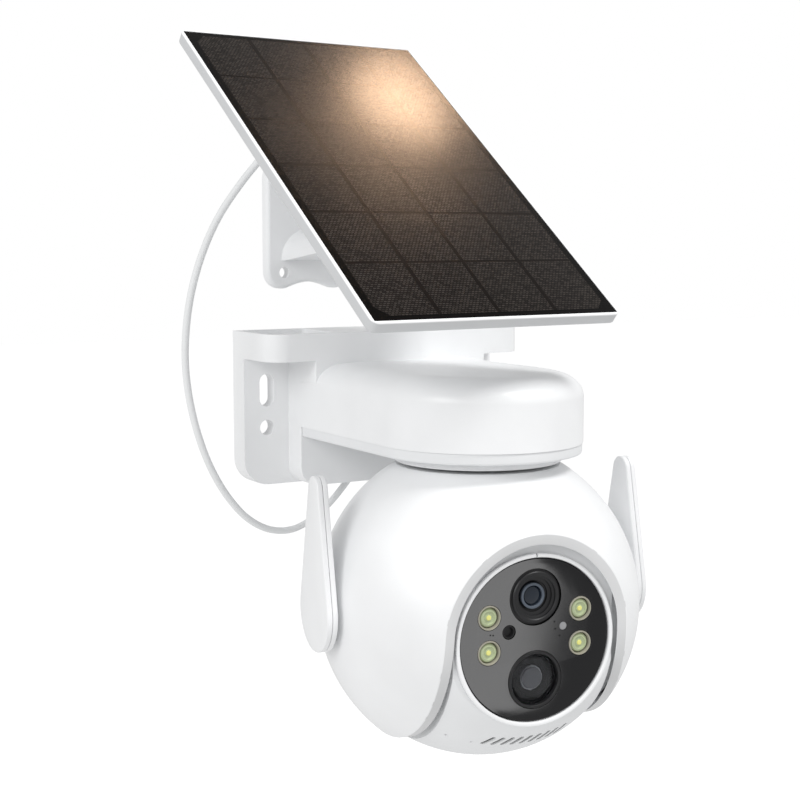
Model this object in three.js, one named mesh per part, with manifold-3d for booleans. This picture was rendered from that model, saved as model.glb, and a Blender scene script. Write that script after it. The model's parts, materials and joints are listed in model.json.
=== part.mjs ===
// Solar-powered pan-and-tilt security camera on a wall bracket, in millimetres.
// X is to the right, Y points at the wall, Z is up, and the wall is the plane y = 0.
// The origin is the middle of the camera bracket's back face.
import * as THREE from "three";
import { mergeVertices } from "three/addons/utils/BufferGeometryUtils.js";
import { ConvexGeometry } from "three/addons/geometries/ConvexGeometry.js";
import Module from "manifold-3d";

const wasm = await Module();
wasm.setup();

// ---------------------------------------------------------------- driving dimensions
const GAP = 0.3; // clearance between touching pieces
const DEG = Math.PI / 180;

// camera bracket
const PLATE_HALF = 63;
const PLATE_HEIGHT = 66.5;
const PLATE_DEPTH = 11.2;
const PLATE_POCKET = 4.7; // hollow behind the plate
const RIM = 3;
const TOP = PLATE_HEIGHT / 2;
const FLANGE_DEPTH = 37.7;
const FLANGE_HEIGHT = 11.5;
const FLANGE_CORNER = 9;
const PLATE_CORNER = 11;
const GUSSET_DEPTH = 23.4;
const GUSSET_CORNER = 8;
const SLOT_INSET = 10.7; // slot centre from the plate's side edge
const SLOT_WIDTH = 6.8;
const SLOT_LENGTH = 14.2;
const SLOT_Z = 7.8;
const HOLE_Z = -8.4;
const HOLE_R = 3.3;

// arm
const ARM_HALF = 42;
const ARM_TOP = 20.5;
const ARM_ROUND = [14, 9]; // width and height of the rounded top edge
const ARM_WALL = 3.2;
const COVER_TOP = -7.4;
const COVER_BOTTOM = -11.75;
const AXIS_Y = -96.8; // pan axis from the wall

// pan drive
const MODULE = 1;
const PAN_TEETH = 48;
const PAN_PINION_TEETH = 12;
const TILT_TEETH = 32;
const TILT_PINION_TEETH = 10;
const HUB_R = 17.5;
const HUB_BORE = 12;

// ball
const BALL_Z = -72.35;
const BALL_R = 65;
const BALL_WALL = 2.6;
const BALL_TOP = 56; // flat neck above the centre
const REAR_SPLIT = 36;
const PAN_REST = -7.5 * DEG; // the head looks a little to the left at rest
const NECK_R = 33.6;
const OPEN_HALF = 34.5; // half-width of the slot that the head looks through
const OPEN_TOP = 31.5;
const OPEN_LIP = 3.6; // width of the rebate round the opening
const SLOT_BACK = 29; // how far the slot runs under the ball

// tilting head
const HEAD_R = 61.5;
const HEAD_WALL = 2.2;
const HEAD_SIDE = 56; // flat sides that face the cheeks
const HEAD_DRUM = 50.5; // radius of the set-back upper and rear part
const HEAD_FRONT = 49; // flat front
const BOWL_FROM = -160 * DEG;
const BOWL_TO = 43 * DEG;
const FACE_Z = -4.6;
const FACE_R = 31.2;
const RING_R = 33.2;
const FACE_FRONT = 50;
const LENS_Z = 11.8;
const PIR_Z = -19.9;
const LAMP_X = 19.2;
const LAMP_ROWS = [5.6, -7.7];
const AXLE_R = 6;

// antennas
const ANTENNA_IN = 65.8;
const ANTENNA_OUT = 70.4;
const ANTENNA_Z = 1.5;
const ANTENNA_BASE_R = 15.8;
const ANTENNA_TIP_R = 5.5;
const ANTENNA_TIP_Z = 49.2;

// solar panel and its bracket
const PANEL_WIDTH = 113;
const PANEL_LENGTH = 179;
const PANEL_THICK = 5;
const PANEL_TILT = 38.8 * DEG;
const PANEL_YAW = 4.4 * DEG; // the panel and its hinge turned about the upright
const PANEL_LIP = 1;
const HINGE_X = -28;
const HINGE_AT = [-70.1, 85]; // y and z of the hinge axis
const HINGE_OFFSET = 3.9; // hinge's middle to the right of the panel's
const HINGE_DROP = 20; // hinge axis behind the panel's face
const HINGE_R = 3;
const MOUNT_HALF = 20.4;
const MOUNT_BOTTOM = 51;
const MOUNT_TOP = 106;
const MOUNT_DEPTH = 5;
const CABLE_R = 1.5;

// ---------------------------------------------------------------- solids
function solid(geometry) {
  const plain = geometry.clone();
  plain.deleteAttribute("normal");
  plain.deleteAttribute("uv");
  const merged = mergeVertices(plain, 1e-4);
  const corners = merged.index.array;
  const triVerts = [];
  for (let i = 0; i < corners.length; i += 3) {
    const [a, b, c] = [corners[i], corners[i + 1], corners[i + 2]];
    if (a !== b && b !== c && c !== a) triVerts.push(a, b, c);
  }
  const vertProperties = new Float32Array(merged.attributes.position.array);
  const build = (tris) =>
    new wasm.Manifold(new wasm.Mesh({ numProp: 3, vertProperties, triVerts: new Uint32Array(tris) }));
  const made = build(triVerts);
  if (made.volume() > 0) return made;
  for (let i = 0; i < triVerts.length; i += 3) {
    [triVerts[i + 1], triVerts[i + 2]] = [triVerts[i + 2], triVerts[i + 1]];
  }
  return build(triVerts);
}

function union(...pieces) {
  return pieces.reduce((a, b) => a.add(b));
}

// A box from its lowest to its highest corner.
function box([x0, y0, z0], [x1, y1, z1]) {
  const g = new THREE.BoxGeometry(x1 - x0, y1 - y0, z1 - z0);
  return solid(g.translate((x0 + x1) / 2, (y0 + y1) / 2, (z0 + z1) / 2));
}

// Turns a geometry made along Z so that it runs along another axis.
function along(geometry, axis) {
  if (axis === "x") geometry.rotateY(Math.PI / 2);
  if (axis === "y") geometry.rotateX(-Math.PI / 2);
  return geometry;
}

// A cylinder from a to b along an axis, at the other two coordinates in their own order.
function rod(axis, r, a, b, [p, q] = [0, 0], segments = 14) {
  const g = along(new THREE.CylinderGeometry(r, r, b - a, segments).rotateX(Math.PI / 2), axis);
  const mid = (a + b) / 2;
  const at = { x: [mid, p, q], y: [p, mid, q], z: [p, q, mid] }[axis];
  return solid(g.translate(...at));
}

function tube(axis, outer, inner, a, b, at, segments = 24) {
  return rod(axis, outer, a, b, at, segments).subtract(rod(axis, inner, a - 1, b + 1, at, segments));
}

function ball(r, segments = 28) {
  return solid(new THREE.SphereGeometry(r, segments, segments / 2).rotateX(Math.PI / 2));
}

// A lathe about Z or another axis; the profile is a list of [radius, height].
function turned(profile, axis = "z", at = [0, 0, 0], segments = 16) {
  const points = profile.map(([r, h]) => new THREE.Vector2(r, h));
  const g = along(new THREE.LatheGeometry(points, segments).rotateX(Math.PI / 2), axis);
  return solid(g.translate(...at));
}

// Extrudes a plan shape (x, y) between two heights.
function slab(shape, z0, z1, curveSegments = 4) {
  const g = new THREE.ExtrudeGeometry(shape, { depth: z1 - z0, bevelEnabled: false, curveSegments });
  return solid(g.translate(0, 0, z0));
}

// Extrudes a shape drawn as (x, z), seen from the front, between two depths.
function wall(shape, y0, y1, curveSegments = 4) {
  const g = new THREE.ExtrudeGeometry(shape, { depth: y1 - y0, bevelEnabled: false, curveSegments });
  return solid(g.rotateX(Math.PI / 2).translate(0, y1, 0));
}

// Extrudes a shape drawn as (y, z), seen from the right, between two places along X.
function rib(shape, x0, x1, curveSegments = 4) {
  const g = new THREE.ExtrudeGeometry(shape, { depth: x1 - x0, bevelEnabled: false, curveSegments });
  return solid(g.rotateY(Math.PI / 2).rotateX(Math.PI / 2).translate(x0, 0, 0));
}

function mesh(name, made, color, roughness = 0.45, metalness = 0) {
  const data = made.getMesh();
  const g = new THREE.BufferGeometry();
  g.setAttribute("position", new THREE.BufferAttribute(new Float32Array(data.vertProperties), 3));
  g.setIndex(new THREE.BufferAttribute(data.triVerts, 1));
  g.computeVertexNormals();
  const material = new THREE.MeshStandardMaterial({ color, roughness, metalness, flatShading: true });
  const made3d = new THREE.Mesh(g, material);
  made3d.name = name;
  return made3d;
}

const WHITE = 0xf4f5f6;
const BLACK = 0x0b0b0d;
const GREY = 0xb9bcc0;
const STEEL = 0xa8abae;
const BOARD = 0x1d5a37;
const RUBBER = 0x2a2a2c;
const YELLOW = 0xd7de6a;

// ---------------------------------------------------------------- outlines
function rounded(x0, x1, y0, y1, [r0, r1, r2, r3]) {
  const s = new THREE.Shape();
  s.moveTo(x0 + r0, y0);
  s.lineTo(x1 - r1, y0);
  if (r1) s.absarc(x1 - r1, y0 + r1, r1, -Math.PI / 2, 0);
  s.lineTo(x1, y1 - r2);
  if (r2) s.absarc(x1 - r2, y1 - r2, r2, 0, Math.PI / 2);
  s.lineTo(x0 + r3, y1);
  if (r3) s.absarc(x0 + r3, y1 - r3, r3, Math.PI / 2, Math.PI);
  s.lineTo(x0, y0 + r0);
  if (r0) s.absarc(x0 + r0, y0 + r0, r0, Math.PI, 1.5 * Math.PI);
  return s;
}

// The arm's plan: straight sides, and a half-round end about the pan axis.
function armPlan(half, back) {
  const s = new THREE.Shape();
  s.moveTo(half, back);
  s.lineTo(-half, back);
  s.lineTo(-half, AXIS_Y);
  s.absarc(0, AXIS_Y, half, Math.PI, 2 * Math.PI);
  s.lineTo(half, back);
  return s;
}

// A slot with round ends, standing on end in the (x, z) view.
function slotOutline(x, z, width, length) {
  const r = width / 2;
  const reach = length / 2 - r;
  const s = new THREE.Shape();
  s.absarc(x, z + reach, r, 0, Math.PI);
  s.absarc(x, z - reach, r, Math.PI, 2 * Math.PI);
  s.closePath();
  return s;
}

// The convex outline round two circles, one above the other.
function teardrop(baseR, baseZ, tipR, tipZ) {
  const lean = Math.asin((baseR - tipR) / (tipZ - baseZ));
  const s = new THREE.Shape();
  s.absarc(0, tipZ, tipR, lean, Math.PI - lean);
  s.absarc(0, baseZ, baseR, Math.PI - lean, 2 * Math.PI + lean);
  s.closePath();
  return s;
}

// A spur gear's outline with straight-flanked teeth that leave some backlash.
function gearOutline(teeth, bore, phase = 0) {
  const pitch = (MODULE * teeth) / 2;
  const tip = pitch + 0.8 * MODULE;
  const root = pitch - 1.1 * MODULE;
  const step = (2 * Math.PI) / teeth;
  const s = new THREE.Shape();
  for (let i = 0; i < teeth; i += 1) {
    const corners = [[root, -0.3], [tip, -0.1], [tip, 0.1], [root, 0.3]];
    corners.forEach(([r, share], k) => {
      const a = phase + (i + share) * step;
      const point = [r * Math.cos(a), r * Math.sin(a)];
      if (i + k === 0) s.moveTo(...point);
      else s.lineTo(...point);
    });
  }
  s.closePath();
  if (bore) s.holes.push(new THREE.Path().absarc(0, 0, bore, 0, 2 * Math.PI));
  return s;
}

// ---------------------------------------------------------------- camera bracket
function armBody(half, back, bottom, top, [across, down]) {
  const g = new THREE.ExtrudeGeometry(armPlan(half, back), {
    depth: top - bottom - down,
    bevelEnabled: true,
    bevelSize: across,
    bevelThickness: down,
    bevelOffset: -across,
    bevelSegments: 3,
    curveSegments: 10,
  });
  const full = solid(g.translate(0, 0, bottom));
  return full.subtract(box([-90, -200, bottom - 30], [90, 60, bottom]));
}

function wallBracket() {
  const flange = slab(
    rounded(-PLATE_HALF, PLATE_HALF, -FLANGE_DEPTH, 0, [FLANGE_CORNER, FLANGE_CORNER, 0, 0]),
    TOP - FLANGE_HEIGHT,
    TOP,
  );
  const plate = wall(
    rounded(-PLATE_HALF, PLATE_HALF, -TOP, TOP - 1, [PLATE_CORNER, PLATE_CORNER, 0, 0]),
    -PLATE_DEPTH,
    0,
  );
  const gusset = wall(
    rounded(-ARM_HALF, ARM_HALF, -TOP, TOP - FLANGE_HEIGHT + 1, [GUSSET_CORNER, GUSSET_CORNER, 0, 0]),
    -GUSSET_DEPTH,
    -PLATE_DEPTH + 1,
  );
  const shoulder = box(
    [-ARM_HALF, -FLANGE_DEPTH, 11.5],
    [ARM_HALF, -PLATE_DEPTH + 1, TOP - FLANGE_HEIGHT + 1],
  );
  const arm = armBody(ARM_HALF, 20, COVER_TOP, ARM_TOP, ARM_ROUND).subtract(
    box([-90, -PLATE_DEPTH + 2, -60], [90, 90, 60]),
  );
  const bay = armBody(
    ARM_HALF - ARM_WALL,
    20,
    COVER_TOP - 10,
    ARM_TOP - ARM_WALL,
    [ARM_ROUND[0] - 2, ARM_ROUND[1] - 1],
  ).subtract(box([-90, -GUSSET_DEPTH - ARM_WALL, -60], [90, 90, 60]));
  return union(flange, plate, gusset, shoulder, arm)
    .subtract(bay)
    .subtract(bracketPockets())
    .subtract(bracketHoles());
}

// The hollows in the bracket's back and in its top flange, and the cable's way in from below.
function bracketPockets() {
  const inner = PLATE_HALF - RIM;
  const side = (sign) => {
    const [a, b] = [sign * inner, sign * (ARM_HALF - RIM)].sort((p, q) => p - q);
    return box([a, -PLATE_POCKET, -TOP + RIM + 3], [b, 1, TOP - FLANGE_HEIGHT]);
  };
  const topTray = (sign) => {
    const [a, b] = [sign * inner, sign * 30].sort((p, q) => p - q);
    return box([a, -FLANGE_DEPTH + 6, TOP - 5], [b, -RIM, TOP + 1]);
  };
  const behindGusset = box([-32, -GUSSET_DEPTH + 4, -TOP + 4], [32, 1, -8]);
  const cableNotch = box([-18, -15, -TOP - 1], [0, 1, -TOP + 5]);
  const besideRib = (sign) => {
    const [a, b] = [sign * 3, sign * 36].sort((p, q) => p - q);
    return box([a, -GUSSET_DEPTH + 4, -5], [b, 1, TOP - 4.5]);
  };
  const pairs = [-1, 1].flatMap((sign) => [side(sign), topTray(sign), besideRib(sign)]);
  return union(...pairs, behindGusset, cableNotch);
}

function bracketHoles() {
  const cuts = [-1, 1].flatMap((sign) => {
    const x = sign * (PLATE_HALF - SLOT_INSET);
    return [
      wall(slotOutline(x, SLOT_Z, SLOT_WIDTH, SLOT_LENGTH), -20, 5),
      rod("y", HOLE_R, -20, 5, [x, HOLE_Z], 16),
      slab(slotOutline(x, -FLANGE_DEPTH / 2, SLOT_WIDTH, SLOT_LENGTH), 0, 50),
    ];
  });
  return union(...cuts, coverScrewHoles());
}

const COVER_SCREWS = [[-33, -40], [33, -40]];

function coverScrewHoles() {
  return union(...COVER_SCREWS.map((at) => rod("z", 1.5, COVER_TOP - 1, COVER_TOP + 7, at, 12)));
}

function coverBosses() {
  return union(...COVER_SCREWS.map((at) => rod("z", 4.5, COVER_TOP, ARM_TOP - 2, at, 16)));
}

function armCover() {
  const back = -GUSSET_DEPTH - GAP;
  const plan = armPlan(ARM_HALF - 0.5, back);
  const plate = slab(plan, COVER_BOTTOM, COVER_TOP - GAP, 10);
  const screws = COVER_SCREWS.map((at) => rod("z", 1.8, COVER_BOTTOM - 1, COVER_TOP + 1, at, 12));
  const heads = COVER_SCREWS.map((at) => rod("z", 3.4, COVER_BOTTOM - 1, COVER_BOTTOM + 1.8, at, 16));
  const shaft = rod("z", HUB_R + 3.8, COVER_BOTTOM - 1, COVER_TOP + 1, [0, AXIS_Y], 24);
  return plate.subtract(union(...screws, ...heads, shaft));
}

function coverScrew(at) {
  const head = rod("z", 3.1, COVER_BOTTOM, COVER_BOTTOM + 1.5, at, 14);
  const shank = rod("z", 1.3, COVER_BOTTOM + 1, COVER_TOP + 5, at, 10);
  const recess = rod("z", 1, COVER_BOTTOM - 1, COVER_BOTTOM + 0.8, at, 6);
  return head.add(shank).subtract(recess);
}

// The fixed disc under the arm, which hides the joint above the ball.
function neckRing() {
  return tube("z", NECK_R, HUB_R + 6, -15.2, COVER_BOTTOM - GAP, [0, AXIS_Y], 32);
}

// The flanged plastic bush in the arm's cover that the hub turns in.
function panBush() {
  const sleeve = tube("z", HUB_R + 3.5, HUB_R + GAP, COVER_BOTTOM, -5.5, [0, AXIS_Y]);
  const collar = tube("z", HUB_R + 6, HUB_R + GAP, COVER_TOP, -5.5, [0, AXIS_Y]);
  return sleeve.add(collar);
}

function panMotor() {
  const at = [0, AXIS_Y + (MODULE * (PAN_TEETH + PAN_PINION_TEETH)) / 2];
  const can = rod("z", 12, 3.6, 16.8, at, 18);
  const ears = box([-17.5, at[1] - 3.5, 3.6], [17.5, at[1] + 3.5, 4.6]);
  const shaft = rod("z", 1.2, -2.6, 4, at, 10);
  return union(can, ears, shaft);
}

// The rubber gland in the hollow behind the bracket, where the cable goes in.
const GROMMET_AT = [1, -9];
function cableGrommet() {
  const profile = [[0, -14], [2.6, -14], [3.4, -12], [4.6, -9.4], [4.6, -8.3], [0, -8.3]];
  return turned(profile, "z", [GROMMET_AT[0], GROMMET_AT[1], 0], 16);
}

function cameraBracket() {
  const at = [0, AXIS_Y + (MODULE * (PAN_TEETH + PAN_PINION_TEETH)) / 2];
  const bossed = wallBracket().add(coverBosses().subtract(coverScrewHoles()));
  const pinion = slab(gearOutline(PAN_PINION_TEETH, 1.5, Math.PI / 2 + Math.PI / PAN_PINION_TEETH), -3, 3);
  return [
    mesh("wall_bracket", bossed, WHITE),
    mesh("arm_cover", armCover(), WHITE),
    ...COVER_SCREWS.map((p, i) => mesh("cover_screw_" + (i + 1), coverScrew(p), STEEL, 0.35, 1)),
    mesh("neck_ring", neckRing(), GREY),
    mesh("pan_bush", panBush(), 0xe8e4d8, 0.5),
    mesh("pan_motor", panMotor(), STEEL, 0.35, 0.9),
    mesh("pan_pinion", pinion.translate([at[0], at[1], 0]), 0xe8e4d8, 0.5),
    mesh("cable_grommet", cableGrommet(), RUBBER, 0.8),
  ];
}

// ---------------------------------------------------------------- ball that pans
function openingOutline(half, top) {
  const s = new THREE.Shape();
  s.moveTo(-half, -80);
  s.lineTo(half, -80);
  s.lineTo(half, -1);
  s.absellipse(0, -1, half, top + 1, 0, Math.PI);
  s.lineTo(-half, -80);
  return s;
}

function ballShell() {
  const above = (z) => box([-90, -90, z], [90, 90, 99]);
  const outer = ball(BALL_R, 30).subtract(above(BALL_TOP));
  const inner = ball(BALL_R - BALL_WALL, 30).subtract(above(BALL_TOP - 3));
  const lip = wall(openingOutline(OPEN_HALF + OPEN_LIP, OPEN_TOP + OPEN_LIP), -90, -20, 8).subtract(
    ball(BALL_R - BALL_WALL / 2, 30),
  );
  const mouth = wall(openingOutline(OPEN_HALF, OPEN_TOP), -90, -10, 8);
  const under = box([-OPEN_HALF, -60, -90], [OPEN_HALF, SLOT_BACK, -30]);
  const bores = rod("x", 4.3, -90, 90, [0, ANTENNA_Z], 16);
  const hubHole = rod("z", HUB_BORE, 40, 70, [0, 0], 24);
  const pads = union(
    ...[-1, 1].map((s) => {
      const [a, b] = [s * 60.1, s * 65.4].sort((p, q) => p - q);
      return rod("x", 8, a, b, [0, ANTENNA_Z], 16);
    }),
  );
  return outer.subtract(inner).add(pads).subtract(union(lip, mouth, under, bores, hubHole));
}

const REAR_SCREWS = [[-26, 28], [26, 28], [-26, -28], [26, -28]];

function rearScrews() {
  return REAR_SCREWS.map((at) => rod("y", 1.6, REAR_SPLIT + 1, 70, at, 10));
}

function panShells() {
  const shell = ballShell();
  const behind = box([-90, REAR_SPLIT, -90], [90, 90, 90]);
  const before = box([-90, -90, -90], [90, REAR_SPLIT + GAP, 90]);
  return [
    mesh("pan_front_shell", shell.subtract(behind), WHITE),
    mesh("pan_rear_cover", shell.subtract(before).subtract(union(...rearScrews())), WHITE),
  ];
}

function panHub() {
  const flange = tube("z", HUB_R + 5, HUB_BORE, BALL_TOP + GAP, BALL_TOP + 2.6);
  const sleeve = tube("z", HUB_R, HUB_BORE, BALL_TOP + GAP, 3 - BALL_Z);
  return flange.add(sleeve);
}

function panGear() {
  const rim = slab(gearOutline(PAN_TEETH, HUB_R + GAP), -3 - BALL_Z, 3 - BALL_Z, 12);
  return rim.rotate([0, 0, 90 - PAN_REST / DEG]);
}

function tiltAxle(sign) {
  const span = (a, b) => [sign * a, sign * b].sort((p, q) => p - q);
  return rod("x", 12, ...span(57, 59.8), [0, 0], 18).add(rod("x", AXLE_R, ...span(45.5, 58), [0, 0], 18));
}

function tiltGear() {
  const wheel = slab(gearOutline(TILT_TEETH, AXLE_R + GAP, TILT_PINION_ANGLE + Math.PI / 2), 0, 5, 9);
  return wheel.rotate([0, 90, 0]).translate([-52, 0, 0]);
}

// ---------------------------------------------------------------- antennas
function antennaHalf(sign, a, b, shrink) {
  const outline = teardrop(ANTENNA_BASE_R - shrink, ANTENNA_Z, ANTENNA_TIP_R - shrink, ANTENNA_TIP_Z);
  const [x0, x1] = [sign * a, sign * b].sort((p, q) => p - q);
  return rib(outline, x0, x1, 7);
}

function antenna(side, sign) {
  const mid = (ANTENNA_IN + ANTENNA_OUT) / 2;
  const pinSpan = [sign * 62.4, sign * (ANTENNA_IN + 1)].sort((p, q) => p - q);
  const pin = rod("x", 4, ...pinSpan, [0, ANTENNA_Z], 16);
  const inner = antennaHalf(sign, ANTENNA_IN, mid - GAP / 2, 0).add(pin);
  const outer = union(
    antennaHalf(sign, mid + GAP / 2, ANTENNA_OUT - 0.7, 0),
    antennaHalf(sign, mid + 1, ANTENNA_OUT, 0.8),
  );
  return [
    mesh("antenna_" + side + "_inner", inner, WHITE),
    mesh("antenna_" + side + "_outer", outer, WHITE),
  ];
}

// ---------------------------------------------------------------- tilting head
function sector(from, to, reach) {
  const s = new THREE.Shape();
  s.moveTo(0, 0);
  const steps = 8;
  for (let i = 0; i <= steps; i += 1) {
    const a = from + ((to - from) * i) / steps;
    s.lineTo(-reach * Math.cos(a), reach * Math.sin(a));
  }
  return s;
}

function headBody(r, side, front, drum, from, to) {
  const limits = box([-side, -front, -90], [side, 90, 90]);
  const bowl = rib(sector(from, to, 95), -90, 90);
  const upper = rod("x", drum, -90, 90, [0, 0], 24);
  return ball(r).intersect(limits).intersect(bowl.add(upper));
}

function headShell() {
  const w = HEAD_WALL;
  const turn = 2.2 * DEG; // the wall's thickness as an angle at the bowl's ends
  const [from, to] = [BOWL_FROM + turn, BOWL_TO - turn];
  const outer = headBody(HEAD_R, HEAD_SIDE, HEAD_FRONT, HEAD_DRUM, BOWL_FROM, BOWL_TO);
  const inner = headBody(HEAD_R - w, HEAD_SIDE - w, HEAD_FRONT - w, HEAD_DRUM - w, from, to);
  const window = rod("y", FACE_R + 0.4, -60, -40, [0, FACE_Z], 32);
  const axles = rod("x", AXLE_R + 0.4, -70, 70, [0, 0], 18);
  return outer.subtract(inner).subtract(union(window, axles, grille(), cardWell()));
}

// Slanted sound slots under the face.
function grille() {
  const slots = [];
  for (let i = 0; i < 8; i += 1) {
    const x = -15 + i * 3.7;
    const slot = box([-0.8, -3.4, 40], [0.8, 3.4, 70]);
    slots.push(slot.rotate([0, 0, 24]).rotate([180 - 38, 0, 0]).translate([x, 0, 0]));
  }
  return union(...slots);
}

const CARD = { x: 11, y0: -9, y1: 7 };

function cardWell() {
  return box([-CARD.x - GAP, CARD.y0 - GAP, -70], [CARD.x + GAP, CARD.y1 + GAP, -50]);
}

function cardTray() {
  const plate = box([-CARD.x - 2, CARD.y0 - 2, -55.8], [CARD.x + 2, CARD.y1 + 2, -54.4]);
  const buttonHole = rod("z", 2.3, -60, -50, [6, -1]);
  const cardSlot = box([-9, -1.2, -60], [3, 1.2, -50]);
  return plate.subtract(union(buttonHole, cardSlot));
}

function cardCover() {
  const skin = ball(HEAD_R).subtract(ball(HEAD_R - 1.8));
  const patch = skin.intersect(box([-CARD.x, CARD.y0, -70], [CARD.x, CARD.y1, -50]));
  return patch.add(box([-5, CARD.y1 - 2.4, -60.3], [5, CARD.y1 - 0.3, -58.2]));
}

function resetButton() {
  return rod("z", 2, -58.2, -53.4, [6, -1]).add(rod("z", 3, -54.1, -52.9, [6, -1]));
}

function headShells() {
  const shell = headShell();
  const behind = box([-90, -GAP / 2, -90], [90, 90, 90]);
  const before = box([-90, -90, -90], [90, GAP / 2, 90]);
  return [
    mesh("head_front_shell", shell.subtract(behind), WHITE),
    mesh("head_rear_shell", shell.subtract(before), WHITE),
  ];
}

function facePlate() {
  const plate = rod("y", FACE_R, -FACE_FRONT, -FACE_FRONT + 2.4, [0, FACE_Z], 32);
  const lamps = [-1, 1].flatMap((s) => LAMP_ROWS.map((z) => rod("y", 4.9, -60, -40, [s * LAMP_X, z])));
  const lens = rod("y", 10.9, -60, -40, [0, LENS_Z], 20);
  const pir = rod("y", 11.3, -60, -40, [0, PIR_Z], 20);
  const light = rod("y", 2.8, -60, -40, [-11, -0.6], 14);
  return plate.subtract(union(lens, pir, light, ...lamps));
}

function lensBarrel() {
  const inside = [[5.2, -20], [5.2, -3.6], [8.4, -1.2], [8.4, 0]];
  const outside = [[10.6, 0.9], [10.6, -2.6], [7.6, -3.4], [7.6, -20]];
  const profile = [...inside, ...outside, inside[0]];
  const front = FACE_FRONT - 0.9;
  const points = profile.map(([r, h]) => [r, -h]);
  return turned(points, "y", [0, -front, LENS_Z], 20);
}

function lensGlass() {
  const profile = [[0, -9], [4.9, -9], [4.9, -4.4], [3.6, -3.6], [2, -3.1], [0, -3]];
  return turned(profile.map(([r, h]) => [r, -h]), "y", [0, -FACE_FRONT + 0.9, LENS_Z]);
}

function lamp(x, z) {
  const profile = [[0, 7], [3, 7], [4.6, 5], [4.6, 0.3], [4.1, 0.3], [2.2, 4.2], [1.5, 3.4], [0, 3]];
  return turned(profile, "y", [x, -FACE_FRONT, z], 14);
}

function pirLens() {
  const dome = [[11, 3.2], [11, 0.9], [9, 0.5], [6, -0.1], [3, -0.4], [0, -0.5]];
  const hollow = [[0, 0.7], [3, 0.8], [6, 1.2], [9.8, 2], [9.8, 3.2]];
  return turned([...dome, ...hollow, dome[0]], "y", [0, -FACE_FRONT, PIR_Z], 20);
}

function board(name, x, y0, y1, z0, z1) {
  return mesh(name, box([-x, y0, z0], [x, y1, z1]), BOARD, 0.6);
}

function lampBoard() {
  const disc = rod("y", 30, -42.4, -41, [0, FACE_Z], 24);
  return disc.subtract(rod("y", 9, -60, -30, [0, LENS_Z], 16));
}

function speaker() {
  const can = union(rod("z", 10, -50, -47, [0, 0], 18), rod("z", 6, -47.2, -44));
  return can.rotate([-38, 0, 0]);
}

// Three cells lie side to side round the lower back of the head.
const CELL_R = 9.1;
const CELL_REACH = 36;
const CELL_AT = [96, 127, 158].map((a) => [
  -CELL_REACH * Math.cos(-a * DEG),
  CELL_REACH * Math.sin(-a * DEG),
]);

function cell(at) {
  return rod("x", CELL_R, -32.5, 32, at).add(rod("x", 3, 31, 32.9, at, 8));
}

// Part of a ring round the tilt axis, drawn as (y, z) between two radii.
function arcBand(inner, outer, from, to) {
  const s = new THREE.Shape();
  s.absarc(0, 0, outer, from, to);
  s.absarc(0, 0, inner, to, from, true);
  s.closePath();
  return s;
}

function cellTray() {
  const [from, to] = [262 * DEG, 350 * DEG];
  const [near, far, half, wall] = [24.2, 45, 34.8, 1.6];
  const end = arcBand(near, far, from, to);
  const cradle = rib(arcBand(near, near + 2.3, from, to), -half, half, 6);
  return union(cradle, rib(end, -half, wall - half, 6), rib(end, half - wall, half, 6));
}

function tiltMotor() {
  const can = rod("x", 11, -44, -31, TILT_PINION_AT, 18);
  const shaft = rod("x", 1.2, -51.6, -43, TILT_PINION_AT, 10);
  return can.add(shaft);
}

const TILT_PINION_ANGLE = 62 * DEG;
const TILT_CENTRES = (MODULE * (TILT_TEETH + TILT_PINION_TEETH)) / 2;
const TILT_PINION_WAY = [Math.cos(TILT_PINION_ANGLE), Math.sin(TILT_PINION_ANGLE)];
const TILT_PINION_AT = TILT_PINION_WAY.map((v) => v * TILT_CENTRES);

function tiltPinion() {
  const phase = TILT_PINION_ANGLE - Math.PI / 2 + Math.PI / TILT_PINION_TEETH;
  const wheel = slab(gearOutline(TILT_PINION_TEETH, 1.5, phase), 0, 5, 3);
  return wheel.rotate([0, 90, 0]).translate([-52, TILT_PINION_AT[0], TILT_PINION_AT[1]]);
}

function tiltingHead() {
  const ring = tube("y", RING_R, FACE_R + 0.4, -FACE_FRONT - 0.3, -HEAD_FRONT - GAP, [0, FACE_Z], 32);
  const gasket = tube("y", FACE_R, FACE_R - 2, -47.3, -45.8, [0, FACE_Z], 24);
  const lamps = [-1, 1].flatMap((s) => LAMP_ROWS.map((z) => [s * LAMP_X, z]));
  return [
    ...headShells(),
    mesh("trim_ring", ring, WHITE),
    mesh("face_plate", facePlate(), BLACK, 0.08),
    mesh("face_gasket", gasket, RUBBER, 0.9),
    mesh("lens_barrel", lensBarrel(), BLACK, 0.35),
    mesh("lens_glass", lensGlass(), 0x27313f, 0.05),
    ...lamps.map(([x, z], i) => mesh("lamp_" + (i + 1), lamp(x, z), YELLOW, 0.2)),
    mesh("pir_lens", pirLens(), 0x2c2d31, 0.12),
    mesh("pir_sensor", rod("y", 4.4, -46.5, -42.8, [0, PIR_Z]), STEEL, 0.3, 1),
    mesh("light_sensor", rod("y", 2.5, -49.3, -42.8, [-11, -0.6], 14), BLACK, 0.2),
    mesh("lamp_board", lampBoard(), BOARD, 0.6),
    board("sensor_board", 12, -28.6, -27.2, LENS_Z - 12, LENS_Z + 12),
    board("main_board", 30, -24, -22.4, -22, 30),
    mesh("speaker", speaker(), BLACK, 0.5),
    ...CELL_AT.map((at, i) => mesh("battery_" + (i + 1), cell(at), 0x2f6fb0, 0.4)),
    mesh("battery_tray", cellTray(), BLACK, 0.6),
    mesh("tilt_motor", tiltMotor(), STEEL, 0.35, 0.9),
    mesh("tilt_pinion", tiltPinion(), 0xe8e4d8, 0.5),
    mesh("card_tray", cardTray(), BLACK, 0.6),
    mesh("card_cover", cardCover(), WHITE, 0.8),
    mesh("reset_button", resetButton(), GREY, 0.5),
  ];
}

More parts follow.
